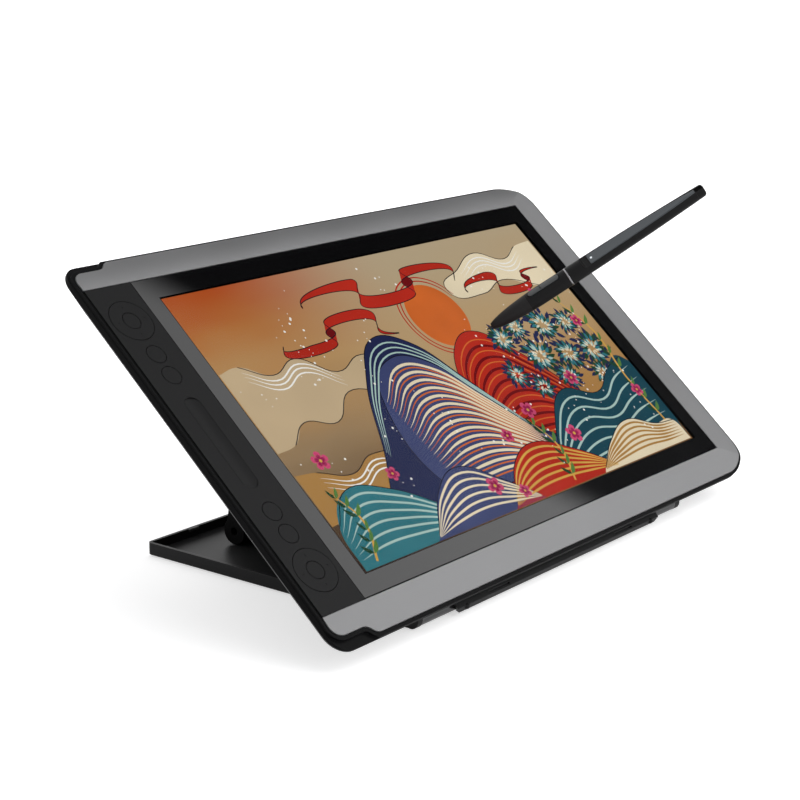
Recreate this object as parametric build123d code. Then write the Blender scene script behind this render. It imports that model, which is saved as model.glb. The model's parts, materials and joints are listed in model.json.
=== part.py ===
from build123d import *
import os
from math import asin, atan2, cos, degrees, radians, sin

os.makedirs("parts", exist_ok=True)

# A pen display on its folding desk stand, with its pen on the screen. Lengths in mm, angles in degrees.
# The origin is the middle of the stand tray's footprint on the desk. +X is the tablet's right,
# +Y points away from the user and +Z up.

# Stand tray
tray_width = 276.8
tray_depth = 203.0
tray_height = 8.4
tray_wall = 2.0
tray_floor = 2.0
tray_corner = 3.0
feet_height = 0.8
foot_pad_length = 36.0
foot_pad_width = 9.0
foot_pad_margin = 8.0
catch_width = 8.4
catch_reach = 2.0
catch_height = 1.7
catch_offset = 100.9
ear_radius = 5.0
ear_width = 4.2

# Tilt hinge at the tray's front corners
tilt = 41.4
hinge_height = 5.6
barrel_radius = 4.85
barrel_gap = 0.4
shaft_radius = 2.0
shaft_reach = 14.0
running_gap = 0.05
seat_gap = 0.02
hinge_inset = 5.8
hinge_behind_glass = 18.15
display_shift = 1.6

# Support leg between the tray and the display
leg_width = 195.2
leg_pivot_inset = 32.7
leg_lean = 81.5
leg_foot_radius = 8.0
leg_rear_face = 6.2
leg_front_face = 4.2
leg_top_thickness = 6.4
leg_edge_radius = 2.2
leg_pad_thickness = 1.0
leg_pad_depth = 8.0
leg_rest_gap = 0.3
leg_skin = 2.2
leg_rib = 2.4
leg_pocket_columns = 6
leg_pocket_rows = 2
leg_taper_share = 0.4
leg_pin_radius = 2.5
knuckle_offset = 50.0
knuckle_width = 12.0
knuckle_radius = 7.0
knuckle_gap = 0.4
floor_gap = 0.3

# Display body
body_width = 432.6
body_height = 260.8
side_depth = 5.5
body_thickness = 15.5
rear_inset_side = 10.0
rear_inset_top = 8.0
rear_inset_bottom = 3.0
left_corner = 13.0
right_corner_wide = 40.0
right_corner_tight = 17.0
right_corner_turn = 35.0
cover_wall = 1.8

# Silver front frame and the rim round it
frame_left_margin = 2.7
frame_right_margin = 1.9
frame_bottom_margin = 2.2
frame_top_margin = 1.4
frame_wall = 1.5
frame_skirt = 1.2
frame_left_corner = 8.0
frame_right_corner_wide = 36.0
frame_right_corner_tight = 15.5
wave_start = 32.5
wave_length = 11.5
wave_rise_bottom = 5.9
wave_rise_top = 5.2
rim_width = 2.4
rim_drop = 0.5
shoulder_drop = 2.0
bottom_slope_drop = 2.0
top_slope_drop = 2.6
right_slope_drop = 1.2
fit_gap = 0.2

# Screen opening, glass and the stack behind it
band_right = 22.35
band_top = 17.7
band_bottom = 18.6
console_width = 34.1
border_left = 14.3
border_right = 13.09
border_top = 13.905
border_bottom = 13.405
glass_gap = 0.6
glass_thickness = 1.8
mask_thickness = 0.2
lcd_margin = 3.0
lcd_thickness = 2.0
stack_gap = 0.1
lcd_clearance = 0.4
backlight_thickness = 1.5
digitizer_margin = 6.0
digitizer_thickness = 1.0
shield_thickness = 0.6
frame_floor_top = 4.3
main_board_width = 150.0
main_board_height = 88.0
main_board_thickness = 1.4
main_board_offset = -18.0
main_board_rise = 30.0
standoff_radius = 2.4
standoff_height = 1.6
standoff_margin = 5.0
chip_place_shares = [(-0.25, 0.2), (0.05, -0.15), (0.3, 0.18)]
chip_size = 14.0
chip_height = 1.4
ribbon_width = 34.0
ribbon_thickness = 0.25

# Console with its rings, keys and touch strip
panel_thickness = 2.0
panel_proud = 0.1
console_centre_shift = -0.45
ring_end_margin = 24.9
ring_radius = 13.4
ring_height = 2.3
ring_gap = 0.3
ring_mark_offset = 9.4
ring_mark_size = 1.1
ring_mark_depth = 0.15
button_radius = 5.4
button_height = 2.2
key_radius = 5.85
key_height = 2.2
key_flange = 0.8
key_flange_thickness = 0.6
key_to_ring = 23.95
key_pitch = 14.85
key_proud = 0.15
stem_radius = 2.0
dome_radius = 2.4
dome_height = 0.7
dome_travel_gap = 0.6
plunger_offset = 10.6
plunger_radius = 1.2
gimbal_inner = 6.4
gimbal_outer = 8.2
gimbal_thickness = 0.8
gimbal_gap = 0.9
nub_radius = 0.7
nub_gap = 0.1
key_board_side_margin = 2.55
key_board_end_margin = 3.45
key_board_thickness = 1.2
board_window_margin = 1.2
strip_to_key = 15.75
strip_width = 11.0
strip_depth = 0.7
strip_thickness = 1.2
strip_lip = 1.0

# Rear cover details
recess_width = 62.0
recess_height = 34.0
recess_depth = 6.5
recess_wall = 1.5
recess_inset = 64.3
recess_drop = 152.4
socket_depth = 12.0
socket_proud = 1.0
socket_height = 5.2
socket_rise = 0.6
power_socket_width = 8.4
power_bore = 2.75
video_socket_width = 15.2
usb_socket_width = 9.6
usb_mouth_height = 2.8
socket_wall = 0.6
socket_pitch = 17.0
port_board_height = 30.0
port_board_thickness = 1.2
vent_count = 14
vent_width = 1.6
vent_length = 16.0
vent_pitch = 5.0
vent_inset = 66.3
vent_drop = 42.4
cover_screw_inset = 9.0
hinge_pad_front = 10.5
hinge_pad_margin = 2.4
screw_head_radius = 2.6
screw_shank_radius = 1.3
screw_head_height = 1.2
screw_length = 7.0
screw_boss_radius = 3.4
menu_key_length = 9.0
menu_key_width = 4.4
menu_key_height = 3.6
menu_key_pitch = 13.0
menu_key_inset = 24.3
menu_key_drop = 84.4
menu_key_proud = 0.9
menu_key_count = 4
menu_board_gap = 0.9

# Stand plate on the display's back
plate_width = 213.2
plate_thickness = 2.6
plate_top_margin = 12.0
plate_corner = 10.0
rail_height = 4.6
rail_width = 2.6
rail_gap = 3.0
plate_screw_spacing_x = 150.0
plate_screw_spacing_y = 70.0
plate_screw_from_hinge = 89.6
plate_screw_radius = 1.95
plate_screw_head_radius = 3.6
plate_screw_head = 2.2
plate_screw_length = 6.0
bar_reach = 7.9
bar_corner_height = 1.3
bar_face_reach = 6.9
bar_face_height = 4.4
bar_lip_reach = 3.7
bar_lip_height = 5.0
bar_lip_return = 2.9
bar_keel = 4.4
bar_keel_front = 3.0
bar_keel_back = 2.0
bar_root = 10.0
bar_end_cut = 11.0
bar_slot_length = 20.0
bar_slot_width = 1.2
bar_slot_depth = 1.2
bar_slot_offset = 66.0
bump_radius = 1.8
bump_inset = 9.0

# Pen
pen_length = 161.6
pen_tip_offset = 65.75
pen_tip_rise = 22.54
pen_tip_gap = 0.3
pen_lean = 55.3
pen_heading = -10.6
pen_roll = -14.8
pen_radius = 6.0
pen_nose_radius = 1.9
pen_tail_radius = 4.1
pen_nib_radius = 0.85
pen_nib_tip_radius = 0.35
pen_nib_length = 20.0
pen_nib_out = 3.6
pen_nose_length = 14.0
pen_swell_length = 23.8
pen_end_round = 1.8
pen_end_turn = 80
pen_profile_shares = [(0.0, 0.0), (0.25, 0.44), (0.6, 0.74), (1.0, 0.92)]
pen_nose_slope_shares = (1, 2)
pen_grip_end = 31.0
pen_ring_place = 61.0
pen_ring_width = 1.0
pen_ring_proud = 0.1
pen_wall = 1.3
pen_facet_start = 72.0
pen_facet_distance = 3.5
pen_facet_scoop = 5.0
pen_facet_round_share = 0.9
pen_plate_thickness = 0.5
pen_plate_margin = 0.5
pen_tail_cap = 6.0
pen_port_length = 6.0
pen_port_width = 3.2
pen_port_depth = 2.0
pen_led_radius = 0.75
pen_rocker_start = 33.4
pen_rocker_end = 55.5
pen_rocker_split = 42.2
pen_rocker_width = 3.4
pen_rocker_proud = 0.7
pen_rocker_depth = 2.4
pen_rocker_gap = 0.3
pen_sensor_length = 8.0
pen_sensor_radius = 3.0
pen_coil_length = 9.0
pen_coil_radius = 2.6
pen_board_width = 6.0
pen_board_thickness = 1.0
pen_battery_radius = 2.9
pen_battery_length = 44.0

cut_over = 3.0

# Places worked out from the sizes above
hinge_y = -tray_depth / 2 + ear_radius
barrel_outer = tray_width / 2 - ear_width
barrel_inner = plate_width / 2 - bar_end_cut
barrel_length = barrel_outer - barrel_inner
hinge_to_centre = body_height / 2 - hinge_inset
display_y = hinge_y + hinge_to_centre * cos(radians(tilt)) - hinge_behind_glass * sin(radians(tilt))
display_z = hinge_height + hinge_to_centre * sin(radians(tilt)) + hinge_behind_glass * cos(radians(tilt))
display_place = Location((display_shift, display_y, display_z), (tilt, 0, 0))
stand_on_display = Location((-display_shift, -hinge_to_centre, -hinge_behind_glass))

body_left = -body_width / 2
body_right = body_width / 2
body_bottom = -body_height / 2
body_top = body_height / 2
frame_left = body_left + frame_left_margin
frame_right = body_right - frame_right_margin
frame_bottom = body_bottom + frame_bottom_margin
frame_top = body_top - frame_top_margin
window_left = frame_left
window_right = frame_right - band_right
window_bottom = frame_bottom + band_bottom
window_top = frame_top - band_top
window_width = window_right - window_left
window_height = window_top - window_bottom
window_rise = (window_top + window_bottom) / 2
active_left = window_left + console_width + border_left
active_bottom = window_bottom + border_bottom
active_width = window_right - border_right - active_left
active_height = window_top - border_top - active_bottom
active_offset = active_left + active_width / 2
active_rise = active_bottom + active_height / 2
glass_left = window_left + console_width + glass_gap / 2
glass_width = window_right - glass_gap - glass_left
glass_height = window_height - 2 * glass_gap
glass_centre = glass_left + glass_width / 2
console_x = window_left + console_width / 2 + console_centre_shift
ring_offset = window_height / 2 - ring_end_margin
key_outer_offset = ring_offset - key_to_ring
key_inner_offset = key_outer_offset - key_pitch
strip_length = 2 * (key_inner_offset - strip_to_key)
key_board_width = console_width - 2 * key_board_side_margin
key_board_height = window_height - 2 * key_board_end_margin
lcd_back = glass_thickness + mask_thickness + lcd_thickness
backlight_back = lcd_back + backlight_thickness
lcd_window_width = active_width + 2 * (lcd_margin + lcd_clearance)
lcd_window_height = active_height + 2 * (lcd_margin + lcd_clearance)
digitizer_front = side_depth + stack_gap
digitizer_back = digitizer_front + digitizer_thickness
shield_front = digitizer_back + stack_gap
shield_back = shield_front + shield_thickness
board_front = shield_back + standoff_height
key_board_front = side_depth + stack_gap
plunger_end = key_board_front - dome_height - dome_travel_gap
plate_back = body_thickness + plate_thickness
bar_facet_tilt = degrees(atan2(bar_lip_height - bar_face_height, bar_face_reach - bar_lip_reach))
cover_inside = body_thickness - cover_wall
recess_offset = body_right - recess_inset
recess_rise = body_top - recess_drop
vent_offset = body_right - vent_inset
vent_rise = body_top - vent_drop
menu_key_offset = body_right - menu_key_inset
menu_key_rise = body_top - menu_key_drop
plate_screw_rise = plate_screw_from_hinge - hinge_to_centre


def write(node, *shapes):
    solids = [solid for shape in shapes for solid in shape.solids()]
    body = solids[0] if len(solids) == 1 else Compound(children=solids)
    body.label = node
    export_step(body, f"parts/{node}.step")


def on_display(shape):
    return display_place * shape


def slab(width, height, front, back, x=0, y=0):
    """A plate of the display, from its front depth to its back depth behind the glass face."""
    return Pos(x, y, -(front + back) / 2) * Box(width, height, back - front)


def disc(radius, front, back, x=0, y=0):
    return Pos(x, y, -(front + back) / 2) * Cylinder(radius, back - front)


def soft_corner(line, wide, tight, turn):
    """Two tangent arcs that turn a right angle: first the wide one, then the tight one."""
    first = JernArc(line @ 1, line % 1, wide, turn)
    return first, JernArc(first @ 1, first % 1, tight, 90 - turn)


def corner_reach(wide, tight, turn):
    along = tight + (wide - tight) * sin(radians(turn))
    across = wide - (wide - tight) * cos(radians(turn))
    return along, across


# The body seen from the front: tight corners at the left, long soft ones at the right
def body_outline(side=0, top=0, bottom=0):
    left = body_left + side
    right = body_right - side
    low = body_bottom + bottom
    high = body_top - top
    along, across = corner_reach(right_corner_wide, right_corner_tight, right_corner_turn)
    l1 = Line((left + left_corner, low), (right - along, low))
    a1, a2 = soft_corner(l1, right_corner_wide, right_corner_tight, right_corner_turn)
    l2 = Line(a2 @ 1, (right, high - across))
    a3 = JernArc(l2 @ 1, l2 % 1, right_corner_tight, 90 - right_corner_turn)
    a4 = JernArc(a3 @ 1, a3 % 1, right_corner_wide, right_corner_turn)
    l3 = Line(a4 @ 1, (left + left_corner, high))
    a5 = JernArc(l3 @ 1, l3 % 1, left_corner, 90)
    l4 = Line(a5 @ 1, (left, low + left_corner))
    a6 = JernArc(l4 @ 1, l4 % 1, left_corner, 90)
    return make_face([l1, a1, a2, l2, a3, a4, l3, a5, l4, a6])


# The silver frame's outline, which steps inwards in a wave near both left corners
def frame_outline():
    step_bottom = frame_bottom + wave_rise_bottom
    step_top = frame_top - wave_rise_top
    inner = frame_left + wave_start
    outer = inner - wave_length
    middle = (inner + outer) / 2
    along, across = corner_reach(frame_right_corner_wide, frame_right_corner_tight, right_corner_turn)
    w1 = TangentArc((outer, step_bottom), (middle, (step_bottom + frame_bottom) / 2), tangent=(1, 0))
    w2 = TangentArc((inner, frame_bottom), (middle, (step_bottom + frame_bottom) / 2), tangent=(-1, 0))
    l1 = Line((inner, frame_bottom), (frame_right - along, frame_bottom))
    a1, a2 = soft_corner(l1, frame_right_corner_wide, frame_right_corner_tight, right_corner_turn)
    l2 = Line(a2 @ 1, (frame_right, frame_top - across))
    a3 = JernArc(l2 @ 1, l2 % 1, frame_right_corner_tight, 90 - right_corner_turn)
    a4 = JernArc(a3 @ 1, a3 % 1, frame_right_corner_wide, right_corner_turn)
    l3 = Line(a4 @ 1, (inner, frame_top))
    w3 = TangentArc((inner, frame_top), (middle, (step_top + frame_top) / 2), tangent=(-1, 0))
    w4 = TangentArc((outer, step_top), (middle, (step_top + frame_top) / 2), tangent=(1, 0))
    l4 = Line((outer, step_top), (frame_left + frame_left_corner, step_top))
    a5 = JernArc(l4 @ 1, l4 % 1, frame_left_corner, 90)
    l5 = Line(a5 @ 1, (frame_left, step_bottom + frame_left_corner))
    a6 = JernArc(l5 @ 1, l5 % 1, frame_left_corner, 90)
    l6 = Line(a6 @ 1, (outer, step_bottom))
    return make_face([w1, w2, l1, a1, a2, l2, a3, a4, l3, w3, w4, l4, a5, l5, a6, l6])


# The front faces lie under this crown: flat over the window, sloping away over the bottom and
# right bands and rolling off over the top band
def crown(drop=0):
    reach = body_width
    depth = body_thickness + cut_over
    slope = bottom_slope_drop / (window_bottom - frame_bottom)
    far = body_bottom - cut_over
    low = -slope * (window_bottom - far)
    roll = frame_top - window_top
    roll_radius = (roll ** 2 + top_slope_drop ** 2) / (2 * top_slope_drop)
    bend = degrees(asin((roll + 2 * frame_top_margin) / roll_radius))
    side = [Line((far, -depth), (far, low)), Line((far, low), (window_bottom, 0)),
            Line((window_bottom, 0), (window_top, 0))]
    arc = JernArc((window_top, 0), (1, 0), roll_radius, -bend)
    end = arc @ 1
    side += [arc, Line(end, (end.X, -depth)), Line((end.X, -depth), (far, -depth))]
    along_x = extrude(Plane.YZ * make_face(side), reach, both=True)
    right_slope = right_slope_drop / (frame_right - window_right)
    edge = body_right + cut_over
    profile = Polyline((-reach, 0), (window_right, 0), (edge, -right_slope * (edge - window_right)),
                       (edge, -depth), (-reach, -depth), (-reach, 0))
    along_y = extrude(Plane.XZ * make_face(profile), reach, both=True)
    return Pos(0, 0, -drop) * (along_x & along_y)


def prism(face, front, back):
    """A face of the display pulled from its back depth up to its front depth."""
    return Pos(0, 0, -back) * extrude(face, back - front)


# Display: silver front frame
def make_front_frame():
    outline = frame_outline()
    window = slab(window_width + 2 * cut_over, window_height, -cut_over, body_thickness,
                  window_left + window_width / 2 - cut_over, window_rise)
    shell = prism(outline, -cut_over, frame_floor_top) & crown()
    hollow = crown(frame_wall)
    skirt = slab(window_width + frame_skirt + cut_over, window_height + 2 * frame_skirt, -cut_over,
                 frame_floor_top, window_left + (window_width + frame_skirt - cut_over) / 2, window_rise)
    return (shell - (hollow - skirt)) - window


# Display: black middle frame, whose rim shows round the silver one and whose floor carries the screen
def make_middle_frame():
    outline = body_outline()
    shoulder = prism(outline, -cut_over, side_depth) & crown(shoulder_drop)
    lip_face = offset(frame_outline(), rim_width) & outline
    lip = prism(lip_face, -cut_over, side_depth) & crown(rim_drop)
    pocket = prism(offset(frame_outline(), fit_gap), -cut_over, frame_floor_top)
    ledge = slab(glass_width, glass_height, glass_thickness + mask_thickness, frame_floor_top,
                 glass_centre, window_rise)
    lcd_window = slab(lcd_window_width, lcd_window_height, 0, body_thickness, active_offset, active_rise)
    key_window = slab(key_board_width - 2 * board_window_margin, key_board_height - 2 * board_window_margin,
                      0, body_thickness, console_x, window_rise)
    return (shoulder + lip - pocket) + ledge - lcd_window - key_window


# Display: rear cover, a tapered tub with vents, the socket recess and bosses for its screws
def tapered_tub(wall, front, back):
    share = (back - side_depth) / (body_thickness - side_depth)
    upper = Pos(0, 0, -front) * body_outline(wall, wall, wall)
    lower = Pos(0, 0, -back) * body_outline(wall + rear_inset_side * share, wall + rear_inset_top * share,
                                            wall + rear_inset_bottom * share)
    return loft([upper, lower], ruled=True)


def screw_places():
    inner = tray_width / 2 + 2 * cover_screw_inset
    outer = body_right - rear_inset_side - cover_screw_inset
    columns = (-outer, -inner, inner, outer)
    low = body_bottom + rear_inset_bottom + cover_screw_inset
    high = body_top - rear_inset_top - cover_screw_inset
    return [(x, y) for x in columns for y in (low, high)]


def plate_screw_places():
    return [(side * plate_screw_spacing_x / 2 - display_shift,
             row * plate_screw_spacing_y / 2 + plate_screw_rise)
            for side in (-1, 1) for row in (-1, 1)]


def menu_key_places():
    return [(menu_key_offset, menu_key_rise - index * menu_key_pitch) for index in range(menu_key_count + 1)]


def vent_places(side):
    middle = (vent_count - 1) / 2
    return [(side * vent_offset + (index - middle) * vent_pitch, vent_rise) for index in range(vent_count)]


socket_x = [recess_offset + (index - 1) * socket_pitch for index in range(3)]
recess_top = recess_rise + recess_height / 2
recess_floor = body_thickness - recess_depth
socket_middle = recess_floor + socket_rise + socket_height / 2


def socket_block(width, grow=0):
    return Pos(0, recess_top - socket_proud + socket_depth / 2, -socket_middle) * Box(
        width + 2 * grow, socket_depth, socket_height + 2 * grow)


def hinge_pocket(side, grow=0):
    """The hollow that lets the cover turn round a hinge barrel and its tray ear."""
    inner = barrel_inner - barrel_gap
    outer = tray_width / 2 + barrel_gap
    radius = max(barrel_radius, ear_radius) + barrel_gap
    return Pos(side * (inner + outer) / 2 - display_shift, -hinge_to_centre, -hinge_behind_glass) * Rot(
        0, 90, 0) * Cylinder(radius, outer - inner)


def hinge_pad(side):
    inner = barrel_inner - barrel_gap - cover_wall
    outer = tray_width / 2 + barrel_gap + cover_wall
    low = body_bottom + rear_inset_bottom + cover_wall / 4
    high = -hinge_to_centre + ear_radius + hinge_pad_margin
    return slab(outer - inner, high - low, hinge_pad_front, cover_inside,
                side * (inner + outer) / 2 - display_shift, (low + high) / 2)


def make_rear_cover():
    cover = tapered_tub(0, side_depth, body_thickness) - tapered_tub(cover_wall, side_depth, cover_inside)
    cover += slab(recess_width + 2 * recess_wall, recess_height + 2 * recess_wall, recess_floor - recess_wall,
                  cover_inside, recess_offset, recess_rise)
    for x, y in screw_places():
        cover += disc(screw_boss_radius, side_depth, cover_inside, x, y)
    for x, y in plate_screw_places():
        cover += disc(screw_boss_radius, plate_back - plate_screw_length - stack_gap, cover_inside, x, y)
    for side in (-1, 1):
        cover += hinge_pad(side)
        cover -= hinge_pocket(side)
    cover -= slab(recess_width, recess_height, recess_floor, body_thickness + cut_over, recess_offset,
                  recess_rise)
    for x, width in zip(socket_x, (power_socket_width, video_socket_width, usb_socket_width)):
        cover -= Pos(x, 0, 0) * socket_block(width, stack_gap)
    for side in (-1, 1):
        for x, y in vent_places(side):
            cover -= Pos(x, y, -body_thickness) * extrude(SlotOverall(vent_length, vent_width, rotation=90),
                                                          cover_wall + cut_over, both=True)
    for x, y in screw_places():
        cover -= disc(screw_head_radius + stack_gap, body_thickness - screw_head_height,
                      body_thickness + cut_over, x, y)
        cover -= disc(screw_shank_radius + seat_gap, side_depth, body_thickness, x, y)
    for x, y in plate_screw_places():
        cover -= disc(plate_screw_radius + seat_gap, plate_back - plate_screw_length - stack_gap,
                      body_thickness + cut_over, x, y)
    for x, y in menu_key_places():
        cover -= Pos(x, y, -body_thickness) * extrude(
            SlotOverall(menu_key_length + 2 * ring_gap, menu_key_width + 2 * ring_gap, rotation=90),
            cover_wall + cut_over, both=True)
    return cover


def make_cover_screws():
    screws = []
    for x, y in screw_places():
        head = disc(screw_head_radius, body_thickness - screw_head_height, body_thickness - stack_gap, x, y)
        screws.append(head + disc(screw_shank_radius, body_thickness - screw_length,
                                  body_thickness - screw_head_height, x, y))
    return screws


# Display: glass, screen and boards
def make_glass():
    return slab(glass_width, glass_height, 0, glass_thickness, glass_centre, window_rise)


def make_border_mask():
    mask = slab(glass_width, glass_height, glass_thickness, glass_thickness + mask_thickness,
                glass_centre, window_rise)
    return mask - slab(active_width, active_height, 0, body_thickness, active_offset, active_rise)


def screen_plate(margin, front, back):
    return slab(active_width + 2 * margin, active_height + 2 * margin, front, back, active_offset,
                active_rise)


def standoff_places():
    width = main_board_width / 2 - standoff_margin
    height = main_board_height / 2 - standoff_margin
    return [(main_board_offset + i * width, main_board_rise + j * height) for i in (-1, 1) for j in (-1, 1)]


port_board_rise = recess_top + recess_wall + stack_gap + port_board_height / 2
port_board_back = recess_floor + socket_rise


def make_shield():
    shield = screen_plate(digitizer_margin, shield_front, shield_back)
    for x, y in standoff_places():
        shield += disc(standoff_radius, shield_front, board_front, x, y)
    for side in (-1, 1):
        shield += disc(standoff_radius, shield_front, port_board_back - port_board_thickness,
                       recess_offset + side * (recess_width / 2 - standoff_margin),
                       port_board_rise + port_board_height / 2 - standoff_margin)
    return shield


def make_main_board():
    board = slab(main_board_width, main_board_height, board_front, board_front + main_board_thickness,
                 main_board_offset, main_board_rise)
    back = board_front + main_board_thickness
    for share_x, share_y in chip_place_shares:
        board += slab(chip_size, chip_size, back, back + chip_height,
                      main_board_offset + share_x * main_board_width,
                      main_board_rise + share_y * main_board_height)
    return board


def make_ribbon():
    """The flat cable from the screen's lower edge round the shield to the main board."""
    low = active_rise - active_height / 2 - digitizer_margin
    board_low = main_board_rise - main_board_height / 2
    back = board_front + main_board_thickness
    run = slab(ribbon_width, board_low - low, shield_back, shield_back + ribbon_thickness,
               main_board_offset, (board_low + low) / 2)
    rise = slab(ribbon_width, ribbon_thickness, shield_back, back + ribbon_thickness, main_board_offset,
                board_low - ribbon_thickness / 2)
    tail = slab(ribbon_width, standoff_margin, back, back + ribbon_thickness, main_board_offset,
                board_low + standoff_margin / 2 - ribbon_thickness / 2)
    return run + rise + tail


def make_port_board():
    return slab(recess_width, port_board_height, port_board_back - port_board_thickness, port_board_back,
                recess_offset, port_board_rise)


def make_socket(x, width, mouth):
    return Pos(x, 0, 0) * (socket_block(width) - mouth)


def make_power_jack():
    depth = socket_depth - socket_wall
    bore = Pos(0, recess_top - socket_proud + depth / 2, -socket_middle) * Rot(90, 0, 0) * Cylinder(
        power_bore - stack_gap, depth)
    return make_socket(socket_x[0], power_socket_width, bore)


def make_slot_socket(x, width, mouth_height):
    depth = socket_depth - 2 * socket_wall
    mouth = Pos(0, recess_top - socket_proud + depth / 2, -socket_middle) * Box(
        width - 2 * socket_wall, depth, mouth_height)
    tongue = Pos(0, recess_top + depth / 2, -socket_middle) * Box(
        width - 6 * socket_wall, depth, socket_wall)
    return make_socket(x, width, mouth) + Pos(x, 0, 0) * tongue


# Console: panel, touch strip, rings, keys and the board below them
panel_back = panel_thickness - panel_proud
panel_front = -panel_proud
ring_places = [window_rise - ring_offset, window_rise + ring_offset]
key_places = [window_rise + place for place in (key_outer_offset, key_inner_offset, -key_inner_offset,
                                                -key_outer_offset)]


def strip_slot(length, width, front, back):
    return Pos(console_x, window_rise, -back) * extrude(SlotOverall(length, width, rotation=90), back - front)


def make_console_panel():
    panel = slab(console_width - glass_gap / 2, window_height - 2 * fit_gap, panel_front, panel_back,
                 window_left + fit_gap / 2 + (console_width - glass_gap / 2) / 2, window_rise)
    for y in ring_places:
        panel -= disc(ring_radius + ring_gap, -cut_over, body_thickness, console_x, y)
    for y in key_places:
        panel -= disc(key_radius + ring_gap, -cut_over, body_thickness, console_x, y)
    panel -= strip_slot(strip_length, strip_width, -cut_over, body_thickness)
    rim = glass_gap / 2 + strip_lip
    for side in (-1, 1):
        panel += slab(console_width - 2 * rim, strip_lip, panel_back, frame_floor_top,
                      window_left + console_width / 2, window_rise + side * (window_height / 2 - rim))
    return panel


def make_touch_strip():
    body = strip_slot(strip_length - 2 * stack_gap, strip_width - 2 * stack_gap, panel_front, panel_back)
    radius = ((strip_width / 2) ** 2 + strip_depth ** 2) / (2 * strip_depth)
    groove = Pos(console_x, window_rise, radius - panel_front - strip_depth) * Rot(90, 0, 0) * Cylinder(
        radius, strip_length)
    flange = strip_slot(strip_length + 2 * strip_lip, strip_width + 2 * strip_lip, panel_back,
                        panel_back + strip_thickness)
    return body - groove + flange


def make_ring(y):
    back = ring_height - key_proud
    ring = disc(ring_radius, -key_proud, back) - disc(button_radius + ring_gap, -cut_over, body_thickness)
    for i in range(4):
        spot = Location((0, 0, 0), (0, 0, 90 * i))
        ring += spot * disc(plunger_radius, back, plunger_end, plunger_offset)
        ring -= spot * slab(ring_mark_size, ring_mark_size / 2, -cut_over, ring_mark_depth - key_proud,
                            ring_mark_offset)
    middle = (gimbal_inner + gimbal_outer) / 2
    for side in (-1, 1):
        ring += disc(nub_radius, back, back + gimbal_gap - nub_gap, 0, side * middle)
    return Pos(console_x, y, 0) * ring


def make_gimbal(y):
    front = ring_height - key_proud + gimbal_gap
    back = front + gimbal_thickness
    middle = (gimbal_inner + gimbal_outer) / 2
    gimbal = disc(gimbal_outer, front, back) - disc(gimbal_inner, -cut_over, body_thickness)
    for side in (-1, 1):
        gimbal += disc(nub_radius, back, key_board_front - nub_gap, side * middle, 0)
    return Pos(console_x, y, 0) * gimbal


def make_push_button(y, radius, height, flange):
    back = height - key_proud
    button = disc(radius, -key_proud, back)
    button = fillet(button.edges().group_by(Axis.Z)[-1], key_proud)
    button += disc(stem_radius, back, plunger_end)
    if flange:
        button += disc(radius + key_flange, back, back + key_flange_thickness)
    return Pos(console_x, y, 0) * button


def make_key_board():
    return slab(key_board_width, key_board_height, key_board_front, key_board_front + key_board_thickness,
                console_x, window_rise)


def make_domes():
    places = [(console_x, y) for y in key_places + ring_places]
    for y in ring_places:
        places += [(console_x + plunger_offset * i, y + plunger_offset * j)
                   for i, j in ((-1, 0), (1, 0), (0, -1), (0, 1))]
    return [disc(dome_radius, key_board_front - dome_height, key_board_front, x, y) for x, y in places]


# Rear keys: a power key and four menu keys on their own small board
menu_top = body_thickness + menu_key_proud
menu_board_back = menu_top - menu_key_height - menu_board_gap


def make_menu_key(place):
    x, y = place
    cap = Pos(x, y, -menu_top) * extrude(SlotOverall(menu_key_length, menu_key_width, rotation=90),
                                         menu_key_height)
    return cap + slab(menu_key_width + 2 * key_flange + 2 * ring_gap, menu_key_length,
                      menu_top - menu_key_height, cover_inside - ring_gap, x, y)


def make_menu_board():
    length = menu_key_count * menu_key_pitch + menu_key_length
    middle = menu_key_rise - menu_key_count * menu_key_pitch / 2
    board = slab(menu_key_width + 4 * key_flange, length, menu_board_back - port_board_thickness,
                 menu_board_back, menu_key_offset, middle)
    for side in (-1, 1):
        board += disc(standoff_radius, side_depth + stack_gap, menu_board_back, menu_key_offset,
                      middle + side * (length / 2 - standoff_margin))
    return board


# Stand plate: the plate on the display's back, its rails, and the hinge bar along its front
def stand_face(points):
    """A face in the plane across the hinge axis, given up the screen and towards the glass."""
    return Plane.YZ * make_face(Polyline(*points, close=True))


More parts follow.
